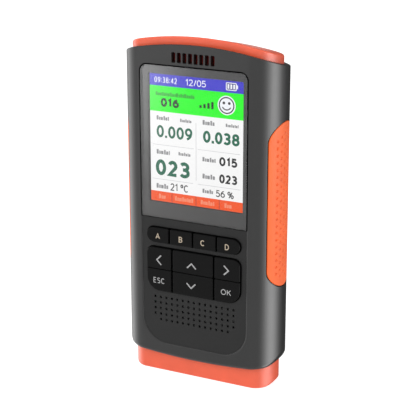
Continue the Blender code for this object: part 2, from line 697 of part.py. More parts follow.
def make_screws():
    for index, (x, z) in enumerate(screw_places(), 1):
        make_screw(f"shell_screw_{index}", x, z, 14.9 * MM, 2.2 * MM, 1.1 * MM, 12 * MM)
    for index, x in enumerate((-BOARD_BOSS_X, BOARD_BOSS_X), 1):
        make_screw(f"board_screw_{index}", x, BOARD_BOSS_Z, -6.4 * MM, 2.1 * MM, 1.0 * MM, 5.9 * MM)


make_front_shell()
make_rear_cover()
make_top_cap()
make_bottom_cap()
make_grip("grip_left", -1)
make_grip("grip_right", 1)
make_window()
make_fascia()
make_display()
make_keys()
make_meshes_and_speaker()
make_board()
make_gas_sensors()
make_particle_sensor()
make_fan()
make_screws()
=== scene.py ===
"""Looks of the handheld air quality monitor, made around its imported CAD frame.

Units are metres, +Z is up, and the display faces -Y.  The outer shells, caps, grips, window, keypad
plate and keys are replaced by finer pieces; the other solids keep their CAD shape and get new materials.
"""
import math

import bmesh
import bpy
from mathutils import Matrix, Vector


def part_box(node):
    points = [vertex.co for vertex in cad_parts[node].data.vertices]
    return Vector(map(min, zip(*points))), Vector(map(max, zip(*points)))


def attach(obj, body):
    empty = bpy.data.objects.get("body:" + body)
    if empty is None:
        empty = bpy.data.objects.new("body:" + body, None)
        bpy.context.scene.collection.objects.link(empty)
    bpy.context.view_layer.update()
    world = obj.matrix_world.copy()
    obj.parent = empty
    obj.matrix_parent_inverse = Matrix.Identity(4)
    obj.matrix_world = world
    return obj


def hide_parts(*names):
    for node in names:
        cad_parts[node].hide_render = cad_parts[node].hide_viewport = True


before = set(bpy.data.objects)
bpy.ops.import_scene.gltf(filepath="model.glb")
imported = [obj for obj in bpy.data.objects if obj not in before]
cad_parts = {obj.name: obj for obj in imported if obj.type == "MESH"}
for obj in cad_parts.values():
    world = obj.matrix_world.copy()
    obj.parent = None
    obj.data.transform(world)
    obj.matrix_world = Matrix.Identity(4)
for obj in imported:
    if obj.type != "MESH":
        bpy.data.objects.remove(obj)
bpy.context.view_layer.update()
MM = 0.001

# Sizes read from the frame.
SHELL_LOW, SHELL_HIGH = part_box("front_shell")
COVER_LOW, COVER_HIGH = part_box("rear_cover")
GRIP_LOW, GRIP_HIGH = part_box("grip_right")
WINDOW_LOW, WINDOW_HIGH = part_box("window_lens")
FASCIA_LOW, FASCIA_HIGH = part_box("keypad_fascia")
PANEL_LOW, PANEL_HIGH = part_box("display_panel")
FRONT_Y = SHELL_LOW[1]
BACK_Y = COVER_HIGH[1]
MIDDLE_Y = (FRONT_Y + BACK_Y) / 2
HALF_DEPTH = (BACK_Y - FRONT_Y) / 2
HALF_WIDTH = (SHELL_HIGH[0] - SHELL_LOW[0]) / 2
SPLIT_Y = (SHELL_HIGH[1] + COVER_LOW[1]) / 2
TOP_FRONT = SHELL_HIGH[2]
SCREEN_Y = PANEL_LOW[1]

# Sizes that the boxes don't give, as in the CAD design or close to it. The arches are in 1/m.
GAP = 0.3 * MM
WALL = 2.8 * MM
SIDE_REACH = 12.5 * MM
FLAT_HALF = HALF_WIDTH - SIDE_REACH
TOP_ARCH = 3.0
TOP_FALL = 0.22
BOTTOM_MIDDLE = 9.5 * MM
BOTTOM_ARCH = 1.54
BOTTOM_CORNER = 6.9 * MM
CORNER_OVERHANG = 0.35 * MM
CAP_CORNER = 3.5 * MM
CAP_INSET = WALL + GAP
CAP_WALL = 2.0 * MM
TOP_CAP_FRONT = TOP_FRONT + 4.2 * MM
TOP_CAP_ROOF = 163 * MM
TOP_CAP_NOTCHES = ((31 * MM, 162.2 * MM), (15.5 * MM, 168.6 * MM))
NOTCH_Y = (-14.5 * MM, -8.4 * MM)
NOTCH_BOTTOM = 150 * MM
BOTTOM_CAP_TOP = 16 * MM
BOTTOM_CAP_FLOOR = 2.2 * MM
SOCKET_SPACE = 0.4 * MM
SOCKET_CORNER = 1.4 * MM
POCKET_DEPTH = 1.6 * MM
POCKET_BOTTOM = 17.0 * MM
POCKET_TOP_RADIUS = 3.2 * MM
POCKET_BOTTOM_RADIUS = 13.5 * MM
DISPLAY_OPENING = ((-27.5 * MM, 86 * MM), (27.5 * MM, 158.8 * MM), 1 * MM)
SPEAKER_OPENING = ((-23.5 * MM, 27.6 * MM), (23.5 * MM, 43.3 * MM), 2 * MM)
SLOT_COUNT = 8
SLOT_PITCH = 2.97 * MM
SLOT_RADIUS = 0.6 * MM
SLOT_Z = (162.4 * MM, 167.3 * MM)
REAR_SLOT_COUNT = 6
REAR_SLOT_PITCH = 4.0 * MM
REAR_SLOT_HALF = (13 * MM, 0.9 * MM)
REAR_SLOT_RADIUS = 0.89 * MM
SCREW_WELL_RADIUS = 2.7 * MM
SCREW_WELL_FLOOR = 0.6 * MM
SCREW_WELL_DEPTH = 1.6 * MM
SOFT_KEYS = ("key_a", "key_b", "key_c", "key_d")
NAVIGATION_KEYS = ("key_left", "key_up", "key_right", "key_escape", "key_down", "key_ok")
SOFT_END_RADIUS = 4.1 * MM
NAVIGATION_TOP_RADIUS = 3.6 * MM
NAVIGATION_BOTTOM_RADIUS = 7.0 * MM
KEY_LIP = 0.9 * MM
KEY_FLANGE = 0.8 * MM
GRIP_END = 9.4 * MM
GRIP_THICKNESS = 1.2 * MM
GRIP_POCKET_DEPTH = 1.5 * MM
GRIP_POCKET_MARGIN = 0.4 * MM
GRIP_POCKET_Z = (20 * MM, 170 * MM)
GRILLE_COLUMNS = 15
GRILLE_ROWS = 5
GRILLE_HALF = 21.9 * MM
GRILLE_TOP = 41.6 * MM
GRILLE_PITCH = 3.03 * MM

# Roundings, gaps and details that the CAD solids leave out or simplify.
SLEEVE_TOP_RIM = 0.35 * MM
SLEEVE_BOTTOM_RIM = 2.2 * MM
CAP_RIM = 0.9 * MM
CAP_INNER_RIM = 0.3 * MM
POCKET_EDGE = 0.08 * MM
SQUARE_CORNER = 0.4 * MM
WALL_EDGE = 0.1 * MM
SLOT_WIDTH = 2.05 * MM
SLOT_EDGE = 0.2 * MM
REAR_SLOT_EDGE = 0.3 * MM
WELL_EDGE = 0.15 * MM
GRIP_EDGE = 0.4 * MM
DIMPLE_COLUMNS = (-6.8, -4.05, -1.35, 1.35, 4.05, 6.8)
DIMPLE_PITCH = 3.5 * MM
DIMPLE_Z = (57.5 * MM, 133.5 * MM)
DIMPLE_END_CURVE = 3.2 * MM
DIMPLE_RADIUS = 0.75 * MM
DIMPLE_DEPTH = 0.5 * MM
WINDOW_PROUD = 0.12 * MM
WINDOW_SPREAD = 0.26 * MM
WINDOW_EDGE = 0.1 * MM
WINDOW_GAP = 0.5 * MM
WINDOW_GAP_DEPTH = 0.9 * MM
WINDOW_RIM = 0.12 * MM
WINDOW_CORNER = 3.7 * MM
# Depths of the near-black ring in the window gap, which is painted shade standing for the shadow in that gap.
GAP_SHADE_DEPTH = (0.4 * MM, 0.88 * MM)
RIM_PROUD = 0.1 * MM
BOND = 0.01 * MM
BORDER_SPACE = 0.02 * MM
BORDER_THICKNESS = 0.06 * MM
BORDER_OPENING = ((-25.2 * MM, 91.6 * MM), (26.0 * MM, 156.2 * MM))
PLATE_EDGE = 0.22 * MM
FASCIA_SPREAD = 0.28 * MM
FASCIA_EDGE = 0.05 * MM
FASCIA_FLARE = 1.1 * MM
FASCIA_FLARE_RISE = 0.28 * MM
GRILLE_HOLE = 1.2 * MM
GRILLE_EDGE = 0.36 * MM
KEY_EDGE = 0.5 * MM
KEY_CORNER = 0.5 * MM
KEY_BASE = 0.2 * MM
FLANGE_SPACE = 0.02 * MM
LEFT_KEYS = ("key_a", "key_left", "key_escape")
RIGHT_KEYS = ("key_d", "key_right", "key_ok")
SIDE_SPACE = 0.15 * MM
ROW_SPACE = 0.2 * MM
SIGN_THICKNESS = 0.04 * MM
CAPTION_UNIT = 0.62
CAPTION_LEAST = 0.4
CAPTION_INK = 0.78
SIGN_HEIGHT = 3.0
ARROW_STROKE = 0.68
LAYER = 0.03 * MM
LAYER_THICKNESS = 0.9 * LAYER
PANEL_CORNER = 0.3 * MM
PANEL_EDGE_WIDTH = 0.2 * MM
PANEL_EDGE_PROUD = 0.02 * MM

# Fineness of the meshes.
SMALLEST_RADIUS = 0.02 * MM
FLAT_STEPS = 24
ARC_STEPS = 36
RIM_STEPS = 5
LID_STEPS = 8
POCKET_ARC_STEPS = 12
GRIP_END_STEPS = 24
GRIP_BENDS = 13
DIMPLE_STEPS = (14, 10)
GRIP_BEND_PITCH = 0.85 * MM

# Flares of openings: where their quarter arc starts, in degrees, and their width outside, as a share.
FLARE_START = 12
FLARE_REACH = 0.98

# Reach of the cutters, well past the object.
CUT_X = 60 * MM
CUT_Y = 50 * MM
CUT_Z = (-10 * MM, 200 * MM)

# Camera: its aim, how far it stands from the front towards +X and above level, its distance and lens.
CAMERA_AIM = Vector((-0.0108, 0.0230, 0.0794))
CAMERA_TURN = math.radians(26.49)
CAMERA_TILT = math.radians(17.37)
CAMERA_DISTANCE = 0.66
CAMERA_LENS = 109.8
SENSOR_WIDTH = 36

# Lights: most cards are as far below level as the camera is above it, where upright faces mirror them.
CARDS_MIDDLE = Vector((0, 0, 0.09))
CARDS_RISE = -17.6
LAMP_PLACE = Vector((-0.12, -0.42, 0.5))
LAMP_AIM = Vector((0, 0, 0.17))
LAMP_POWER = 1.6
LAMP_SIZE = 0.4

# Surfaces: scales of the textures, heights of the bumps and spread of colour and gloss.
MOTTLE_SCALE = 90
MOTTLE_SPREAD = 0.06
GLOSS_SCALE = 300
GLOSS_SPREAD = 0.07
BRUSH_SCALE = 900
BRUSH_SPREAD = 0.2
BRUSH_SHADE = 0.9
BRUSH_DEPTH = 0.004 * MM
TRACK_SCALE = 260
TRACK_DEPTH = 0.02 * MM
WEAVE_SCALE = 1500
WEAVE_DEPTH = 0.05 * MM
PIXEL_SCALE = 4800
PIXEL_SHADE = 0.97
UNLIT_SHADE = 0.05
TINT_SCALE = 40
GLASS_ROUGHNESS = 0.05
GLASS_INDEX = 1.5


# ---- scene building blocks

def in_scene(name, data):
    thing = bpy.data.objects.new(name, data)
    bpy.context.scene.collection.objects.link(thing)
    return thing


def finished(made, name):
    """The mesh that a bmesh has made."""
    mesh = bpy.data.meshes.new(name)
    made.to_mesh(mesh)
    made.free()
    return mesh


# ---- material building blocks

class Nodes:
    """A material whose nodes are added by short calls."""

    def __init__(self, name):
        self.material = bpy.data.materials.new(name)
        self.material.use_nodes = True
        self.tree = self.material.node_tree
        self.tree.nodes.clear()
        self.output = self.add("OutputMaterial")
        self.place = self.add("TexCoord").outputs["Object"]

    def add(self, kind, **inputs):
        """New node; each input gets its value or the output that feeds it."""
        node = self.tree.nodes.new("ShaderNode" + kind)
        for key, value in inputs.items():
            socket = node.inputs[key.replace("_", " ")]
            if isinstance(value, bpy.types.NodeSocket):
                self.tree.links.new(value, socket)
            else:
                socket.default_value = value
        return node

    def noise(self, scale, detail=2.0):
        return self.add("TexNoise", Vector=self.place, Scale=scale, Detail=detail).outputs["Fac"]

    def ramp(self, source, stops):
        node = self.add("ValToRGB", Fac=source)
        elements = node.color_ramp.elements
        while len(elements) < len(stops):
            elements.new(0.5)
        for element, (position, colour) in zip(elements, stops):
            element.position = position
            element.color = (*colour, 1)
        return node.outputs["Color"]

    def mottle(self, source, dark, pale):
        return self.ramp(source, [(0.3, dark), (0.7, pale)])

    def spread(self, source, middle, share):
        """Values within a share of the middle one."""
        node = self.add("MapRange", Value=source, To_Min=middle * (1 - share), To_Max=middle * (1 + share))
        return node.outputs["Result"]

    def bump(self, height, distance, soft_edge=0.0):
        node = self.add("Bump", Height=height, Distance=distance, Strength=1.0)
        if soft_edge:
            edge = self.add("Bevel", Radius=soft_edge)
            edge.samples = 4
            self.tree.links.new(edge.outputs["Normal"], node.inputs["Normal"])
        return node.outputs["Normal"]

    def finish(self, surface):
        self.tree.links.new(surface, self.output.inputs["Surface"])
        return self.material

    def plain(self, **inputs):
        return self.finish(self.add("BsdfPrincipled", **inputs).outputs["BSDF"])


def grey(value):
    return (value,) * 3


def shade(colour, factor):
    return tuple(channel * factor for channel in colour)


def moulded(name, colour, roughness, grain=2600, depth=0.006 * MM, soft_edge=0.25 * MM, **inputs):
    """Moulded plastic or rubber: fine spark-eroded grain, slight mottling in colour and gloss."""
    made = Nodes(name)
    dark, pale = shade(colour, 1 - MOTTLE_SPREAD), shade(colour, 1 + MOTTLE_SPREAD)
    return made.plain(Base_Color=made.mottle(made.noise(MOTTLE_SCALE, 3), dark, pale),
                      Roughness=made.spread(made.noise(GLOSS_SCALE), roughness, GLOSS_SPREAD),
                      Normal=made.bump(made.noise(grain, 1), depth, soft_edge), **inputs)


def metal(name, colour, roughness, brushed=(1, 1, 12)):
    """Metal with fine drawn or turned lines along one direction."""
    made = Nodes(name)
    stretch = made.add("Mapping", Vector=made.place, Scale=brushed)
    lines = made.add("TexNoise", Vector=stretch.outputs["Vector"], Scale=BRUSH_SCALE).outputs["Fac"]
    return made.plain(Metallic=1.0, Base_Color=made.mottle(lines, shade(colour, BRUSH_SHADE), colour),
                      Roughness=made.spread(lines, roughness, BRUSH_SPREAD),
                      Normal=made.bump(lines, BRUSH_DEPTH))


def lit(name, colour):
    """A colour on the lit display: light from behind with a faint pixel grid."""
    made = Nodes(name)
    grid = made.add("TexChecker", Vector=made.place, Scale=PIXEL_SCALE,
                    Color1=(*shade(colour, PIXEL_SHADE), 1), Color2=(*colour, 1))
    return made.plain(Roughness=0.6, Specular_IOR_Level=0.0, Base_Color=(*shade(colour, UNLIT_SHADE), 1),
                      Emission_Color=grid.outputs["Color"], Emission_Strength=1.0)


def window_glass():
    """Clear flat glass: it mirrors by Fresnel and lets the rest straight through."""
    made = Nodes("window_glass")
    tint = made.mottle(made.noise(TINT_SCALE), grey(0.97), grey(0.99))
    clear = made.add("BsdfTransparent", Color=tint)
    gloss = made.add("BsdfGlossy", Roughness=GLASS_ROUGHNESS)
    mix = made.add("MixShader", Fac=made.add("Fresnel", IOR=GLASS_INDEX).outputs["Fac"])
    made.tree.links.new(clear.outputs["BSDF"], mix.inputs[1])
    made.tree.links.new(gloss.outputs["BSDF"], mix.inputs[2])
    return made.finish(mix.outputs["Shader"])


def circuit_board():
    """Green solder mask with paler tracks under it."""
    made = Nodes("circuit_board")
    tracks = made.add("TexBrick", Vector=made.place, Scale=TRACK_SCALE, Color1=(0.01, 0.10, 0.04, 1),
                      Color2=(0.012, 0.12, 0.05, 1), Mortar=(0.03, 0.22, 0.09, 1))
    return made.plain(Roughness=0.35, Base_Color=tracks.outputs["Color"],
                      Normal=made.bump(tracks.outputs["Fac"], TRACK_DEPTH))


def dust_mesh(name, dark, pale):
    """Fine woven cloth behind the openings."""
    made = Nodes(name)
    weave = made.add("TexWave", Vector=made.place, Scale=WEAVE_SCALE).outputs["Fac"]
    return made.plain(Roughness=0.9, Specular_IOR_Level=0.1,
                      Base_Color=made.ramp(weave, [(0.2, dark), (0.8, pale)]),
                      Normal=made.bump(weave, WEAVE_DEPTH))


# Finishes, with their colour and roughness.
SHELL = moulded("shell_plastic", grey(0.013), 0.36)
FASCIA = moulded("fascia_plastic", grey(0.0084), 0.5, Specular_IOR_Level=0.32)
ORANGE = moulded("orange_plastic", (0.66, 0.088, 0.036), 0.34)
RUBBER = moulded("grip_rubber", (0.80, 0.113, 0.012), 0.55, grain=1800, depth=0.012 * MM,
                 Specular_IOR_Level=0.35)
KEY = moulded("key_plastic", grey(0.0018), 0.5, Specular_IOR_Level=0.12, soft_edge=0.1 * MM)
SILICONE = moulded("keypad_silicone", grey(0.10), 0.7, grain=1200)
INNER_PLASTIC = moulded("sensor_plastic", (0.02, 0.02, 0.022), 0.55)
CHIP = moulded("chip_resin", (0.012, 0.012, 0.013), 0.45)
WHITE_PLASTIC = moulded("white_plastic", (0.75, 0.75, 0.73), 0.5)
DIFFUSER = moulded("backlight_film", (0.8, 0.8, 0.78), 0.4)
SIGN = moulded("key_print", grey(0.28), 0.6, grain=3500, soft_edge=0, Specular_IOR_Level=0.2)
SOFT_SIGN = moulded("soft_key_print", (0.36, 0.30, 0.225), 0.6, 3500, soft_edge=0, Specular_IOR_Level=0.2)
# Near-black paint of the ring round the window glass: painted shade, standing for the shadow in the gap round
# the window.
GAP_SHADE_PAINT = moulded("window_gap_shade_paint", grey(0.004), 0.8, Specular_IOR_Level=0.05)
BORDER_PAINT = moulded("window_border_paint", grey(0.104), 0.8, Specular_IOR_Level=0.05)
STEEL = metal("screw_steel", (0.56, 0.56, 0.57), 0.25)
TIN = metal("socket_steel", (0.62, 0.62, 0.63), 0.3)
FOIL = metal("battery_foil", (0.62, 0.63, 0.65), 0.35, (1, 1, 3))
BRASS = metal("laser_brass", (0.72, 0.51, 0.21), 0.28, (12, 1, 1))
CAN = metal("sensor_can", (0.75, 0.75, 0.74), 0.32, (1, 8, 1))
GLASS = window_glass()
BOARD = circuit_board()
# Dust cloth behind the top vent slots. Its dark red is painted shade, standing for orange plastic in shadow
# behind the slots.
PAINTED_SHADE_VENT_CLOTH = dust_mesh("vent_painted_shade_cloth", (0.07, 0.004, 0.003), (0.20, 0.012, 0.009))
SPEAKER_CLOTH = dust_mesh("speaker_cloth", grey(0.2), grey(0.4))

# Colours on the lit display.
HEADER = lit("header_blue", (0.05, 0.043, 0.63))
BATTERY_SHADE = lit("battery_blue", (0.03, 0.03, 0.26))
AIR_GREEN = lit("air_green", (0.008, 1.0, 0.008))
SOFT_BAR = lit("soft_key_orange", (0.97, 0.092, 0.004))
PALE = lit("pale_white", (0.93, 0.95, 1.0))
SMILE = lit("smile_grey", (0.022, 0.018, 0.025))
GREEN_PRINT = lit("green_print", (0.015, 0.38, 0.025))
GREEN_INK = lit("green_ink", (0.001, 0.03, 0.002))
TEAL = lit("teal_digits", (0.008, 0.14, 0.075))
INK = lit("dark_digits", (0.008, 0.008, 0.01))
SMALL_INK = lit("small_digits", (0.015, 0.015, 0.017))
PRINT = lit("small_print", (0.28, 0.28, 0.29))
GRID = lit("grid_lines", (0.58, 0.58, 0.60))
SOFT_MARK = lit("soft_key_marks", (0.98, 0.29, 0.16))
SOFT_LINE = lit("soft_key_lines", (0.60, 0.05, 0.012))
SCREEN_WHITE = lit("screen_white", (1.0, 1.0, 1.0))


# ---- mesh building blocks

def new_piece(name, mesh, surface, body="housing"):
    piece = in_scene(name, mesh)
    mesh.materials.clear()
    mesh.materials.append(surface)
    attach(piece, body)
    return piece


def smooth(mesh, angle=40):
    mesh.shade_smooth()
    mesh.set_sharp_from_angle(angle=math.radians(angle))


def stand_in(name, mesh, node, surface=SHELL, body="housing"):
    """Hard piece that replaces a CAD node."""
    smooth(mesh)
    piece = new_piece(name, mesh, surface, body)
    piece.modifiers.new("even_shading", "WEIGHTED_NORMAL").keep_sharp = True
    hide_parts(node)


def lid(made, row, height_at):
    """Close a plan-shaped row of points with a grid that runs from its front to its back."""
    count = len(row)
    columns = []
    for index in range(-ARC_STEPS // 2, FLAT_STEPS + ARC_STEPS // 2 + 1):
        front = row[index % count]
        back = row[(count // 2 + FLAT_STEPS - index) % count]
        if front is back:
            columns.append([front])
            continue
        column = [front]
        for step in range(1, LID_STEPS):
            x, y, _ = front.co.lerp(back.co, step / LID_STEPS)
            column.append(made.verts.new((x, y, height_at(x, y))))
        columns.append(column + [back])
    for left, right in zip(columns, columns[1:]):
        for step in range(LID_STEPS):
            corners = [left[min(step, len(left) - 1)], right[min(step, len(right) - 1)],
                       right[min(step + 1, len(right) - 1)], left[min(step + 1, len(left) - 1)]]
            made.faces.new(list(dict.fromkeys(corners)))


def skin(rings, low_height=None, high_height=None):
    """Closed mesh through rings of equally many points; each end is one face, or a grid that
    follows a height function."""
    made = bmesh.new()
    rows = [[made.verts.new(point) for point in ring] for ring in rings]
    for low, high in zip(rows, rows[1:]):
        for index in range(len(low)):
            after = (index + 1) % len(low)
            made.faces.new((low[index], low[after], high[after], high[index]))
    for row, height_at in ((rows[0], low_height), (rows[-1], high_height)):
        if height_at:
            lid(made, row, height_at)
        else:
            made.faces.new(row)
    bmesh.ops.recalc_face_normals(made, faces=made.faces)
    return finished(made, "skin")


def joined(meshes):
    """Several meshes as one."""
    made = bmesh.new()
    for mesh in meshes:
        made.from_mesh(mesh)
    return finished(made, "joined")


def cut(target, tool_mesh, operation="DIFFERENCE"):
    """Boolean between two meshes, applied at once."""
    base = in_scene("cut_base", target)
    tool = in_scene("cut_tool", tool_mesh)
    change = base.modifiers.new("cut", "BOOLEAN")
    change.operation = operation
    change.solver = "EXACT"
    change.object = tool
    view = bpy.context.evaluated_depsgraph_get()
    result = bpy.data.meshes.new_from_object(base.evaluated_get(view))
    bpy.data.objects.remove(base)
    bpy.data.objects.remove(tool)
    return result


def angles(start, stop, steps):
    """Angles in radians, in even steps from start to stop in degrees."""
    return [math.radians(start + (stop - start) * step / steps) for step in range(steps + 1)]


def arc(x, z, wide, high, start, stop, steps=None):
    """Points along part of an ellipse, between two angles in degrees, in steps of about 15 degrees
    unless told otherwise."""
    steps = steps or max(3, round(abs(stop - start) / 15))
    return [(x + wide * math.cos(angle), z + high * math.sin(angle)) for angle in angles(start, stop, steps)]


def rounded_outline(low, high, radii, inset=0.0, steps=8):
    """Rounded rectangle, drawn in by inset; radii go round from the lower left."""
    left, bottom = low[0] + inset, low[1] + inset
    right, top = high[0] - inset, high[1] - inset
    corners = ((left, bottom, 1, 1), (right, bottom, -1, 1), (right, top, -1, -1), (left, top, 1, -1))
    points = []
    for number, (radius, (x, z, inward_x, inward_z)) in enumerate(zip(radii, corners)):
        kept = max(radius - inset, SMALLEST_RADIUS)
        start = 180 + 90 * number
        points += arc(x + inward_x * kept, z + inward_z * kept, kept, kept, start, start + 90, steps)
    return points


def disc_outline(x, z, radius, steps=28):
    return arc(x, z, radius, radius, 0, 360, steps)[:-1]


def facing_front(outline, y):
    return [(x, y, z) for x, z in outline]


def slab(outline, front, back):
    """Flat piece between two places in Y."""
    return skin([facing_front(outline, front), facing_front(outline, back)])


def plate(outline_at, front, back, edge, steps=4):
    """Plate facing -Y with rounded front edges; outline_at gives its outline for an inset."""
    rings = [facing_front(outline_at(0), back)]
    for angle in angles(0, 90, steps):
        inset = edge * (1 - math.cos(angle))
        rings.append(facing_front(outline_at(inset), front + edge * (1 - math.sin(angle))))
    return skin(rings)


def opening(outline_at, face, depth, edge, inward=1, steps=4, rise=None):
    """Cutter for an opening in a wall, flared so that the wall's edge comes out rounded, over the
    width edge and the depth rise; inward is 1 through a wall that faces -Y and -1 through one that
    faces +Y."""
    rise = rise or edge
    rings = [facing_front(outline_at(-edge * FLARE_REACH), face - inward * MM)]
    for angle in angles(FLARE_START, 90, steps):
        inset = -edge * (1 - math.sin(angle))
        rings.append(facing_front(outline_at(inset), face + inward * rise * (1 - math.cos(angle))))
    rings.append(facing_front(outline_at(0), face + inward * depth))
    return skin(rings)


def block(low, high):
    """Box cutter."""
    (x0, y0, z0), (x1, y1, z1) = low, high
    rings = [[(x0, y0, z), (x1, y0, z), (x1, y1, z), (x0, y1, z)] for z in (z0, z1)]
    return skin(rings)


# ---- sleeve and caps

def plan(inset):
    """Plan section drawn in by inset: flats divided across the width, sides half ellipses."""
    reach, half = SIDE_REACH - inset, HALF_DEPTH - inset
    front = [(FLAT_HALF * (2 * step / FLAT_STEPS - 1), -half) for step in range(FLAT_STEPS)]
    side = arc(FLAT_HALF, 0, reach, half, -90, 90, ARC_STEPS)[:-1]
    turned = [(-x, -y) for x, y in front + side]
    return [(x, MIDDLE_Y + y) for x, y in front + side + turned]


def level(inset, height_at, shift=0.0):
    return [(x, y, height_at(x, y) + shift) for x, y in plan(inset)]


def flat(height):
    return lambda x, y: height


def crown(front_height):
    """End face arched across the width and falling to the back."""
    return lambda x, y: front_height - TOP_ARCH * x * x - TOP_FALL * (y - FRONT_Y)


def footing(middle, arch, corner, half_width):
    """Lower end face, arched across the width, with rounded corners in front view."""
    reach = half_width + CORNER_OVERHANG - corner
    rise = middle + arch * reach * reach + corner

    def height_at(x, y):
        if abs(x) <= reach:
            return middle + arch * x * x
        return rise - math.sqrt(corner ** 2 - (abs(x) - reach) ** 2)
    return height_at


def form(inset, low, high, low_rim, high_rim):
    """Solid on the plan section between two end faces, with rounded rims."""
    rings = []
    for angle in angles(0, 90, RIM_STEPS):
        drawn = inset + low_rim * (1 - math.sin(angle))
        rings.append(level(drawn, low, low_rim * (1 - math.cos(angle))))
    for angle in angles(0, 90, RIM_STEPS):
        drawn = inset + high_rim * (1 - math.cos(angle))
        rings.append(level(drawn, high, -high_rim * (1 - math.sin(angle))))
    return skin(rings, low, high)


def straight_form(inset, low, high):
    return skin([level(inset, flat(low)), level(inset, flat(high))], flat(low), flat(high))


def grip_outline(inset):
    """Side view of a grip with half-elliptical ends, as the distance behind its middle and Z."""
    half = (GRIP_HIGH[1] - GRIP_LOW[1]) / 2 - inset
    end = GRIP_END - inset
    return (arc(0, GRIP_LOW[2] + GRIP_END, half, end, 180, 360, GRIP_END_STEPS)
            + arc(0, GRIP_HIGH[2] - GRIP_END, half, end, 0, 180, GRIP_END_STEPS))


def make_sleeve():
    """Front shell and rear cover, cut from one closed form."""
    bottom = footing(BOTTOM_MIDDLE, BOTTOM_ARCH, BOTTOM_CORNER, HALF_WIDTH)
    whole = form(0, bottom, crown(TOP_FRONT), SLEEVE_BOTTOM_RIM, SLEEVE_TOP_RIM)
    whole = cut(whole, straight_form(WALL, 0, CUT_Z[1]))
    rear_half = block((-CUT_X, SPLIT_Y - GAP / 2, CUT_Z[0]), (CUT_X, CUT_Y, CUT_Z[1]))
    front_half = block((-CUT_X, -CUT_Y, CUT_Z[0]), (CUT_X, SPLIT_Y + GAP / 2, CUT_Z[1]))
    rear = cut(whole.copy(), front_half)
    make_front_shell(cut(whole, rear_half))
    make_rear_cover(rear)


def window_pocket(inset):
    side = WINDOW_HIGH[0] + GAP
    top = WINDOW_HIGH[2] + GAP
    radii = (POCKET_BOTTOM_RADIUS,) * 2 + (POCKET_TOP_RADIUS,) * 2
    return rounded_outline((-side, POCKET_BOTTOM), (side, top), radii, inset, POCKET_ARC_STEPS)


def window_outline(inset):
    """Outline of the window as drawn here, a little wider than its CAD solid."""
    low = (WINDOW_LOW[0] - WINDOW_SPREAD, WINDOW_LOW[2])
    high = (WINDOW_HIGH[0] + WINDOW_SPREAD, WINDOW_HIGH[2] + WINDOW_SPREAD)
    radii = (SQUARE_CORNER, SQUARE_CORNER, WINDOW_CORNER, WINDOW_CORNER)
    return rounded_outline(low, high, radii, inset, POCKET_ARC_STEPS)


def window_gap(inset):
    return window_outline(inset - WINDOW_GAP)


def fascia_pocket(inset):
    side = FASCIA_HIGH[0] + GAP
    top = FASCIA_HIGH[2]
    radii = (POCKET_BOTTOM_RADIUS,) * 2 + (SQUARE_CORNER,) * 2
    return rounded_outline((-side, POCKET_BOTTOM), (side, top), radii, inset, POCKET_ARC_STEPS)


def key_row(names, radii):
    """Outline round a block of keys, with the gap that they keep to their opening."""
    low_x = min(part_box(name)[0][0] for name in names) - GAP
    high_x = max(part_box(name)[1][0] for name in names) + GAP
    low_z = min(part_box(name)[0][2] for name in names) + KEY_LIP - GAP
    high_z = max(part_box(name)[1][2] for name in names) - KEY_LIP + GAP
    return lambda inset: rounded_outline((low_x, low_z), (high_x, high_z), radii, inset, 10)


def soft_opening():
    return key_row(SOFT_KEYS, (SOFT_END_RADIUS,) * 4)


def navigation_opening():
    low, high = NAVIGATION_BOTTOM_RADIUS + GAP, NAVIGATION_TOP_RADIUS + GAP
    return key_row(NAVIGATION_KEYS, (low, low, high, high))


def rounded_hole(low, high, radius, face, depth, edge, inward=1, steps=5):
    """Cutter for a rounded rectangular opening through a wall."""
    return opening(lambda inset: rounded_outline(low, high, (radius,) * 4, inset, steps),
                   face, depth, edge, inward)


def make_front_shell(mesh):
    side_view = grip_outline(-GRIP_POCKET_MARGIN)
    for start in (-CUT_X, CUT_X / 2):
        pocket = skin([[(x, MIDDLE_Y + across, z) for across, z in side_view]
                       for x in (start, start + CUT_X / 2)])
        mesh = cut(mesh, cut(pocket, straight_form(GRIP_POCKET_DEPTH, *GRIP_POCKET_Z)))
    mesh = cut(mesh, opening(window_pocket, FRONT_Y, POCKET_DEPTH, POCKET_EDGE))
    mesh = cut(mesh, opening(window_gap, FRONT_Y, WINDOW_GAP_DEPTH, POCKET_EDGE))
    mesh = cut(mesh, opening(fascia_pocket, FRONT_Y, POCKET_DEPTH, FASCIA_FLARE, 1, 8, FASCIA_FLARE_RISE))
    floor_y = FRONT_Y + POCKET_DEPTH
    through = 2 * MM
    walls = [
        rounded_hole(*DISPLAY_OPENING, floor_y, through, WALL_EDGE, steps=8),
        opening(soft_opening(), floor_y, through, WALL_EDGE),
        opening(navigation_opening(), floor_y, through, WALL_EDGE),
        rounded_hole(*SPEAKER_OPENING, floor_y, through, WALL_EDGE, steps=8),
    ]
    for index in range(SLOT_COUNT):
        middle = (index - (SLOT_COUNT - 1) / 2) * SLOT_PITCH
        low, high = (middle - SLOT_WIDTH / 2, SLOT_Z[0]), (middle + SLOT_WIDTH / 2, SLOT_Z[1])
        walls.append(rounded_hole(low, high, SLOT_RADIUS, FRONT_Y, WALL + MM, SLOT_EDGE))
    stand_in("front_shell_fine", cut(mesh, joined(walls)), "front_shell")


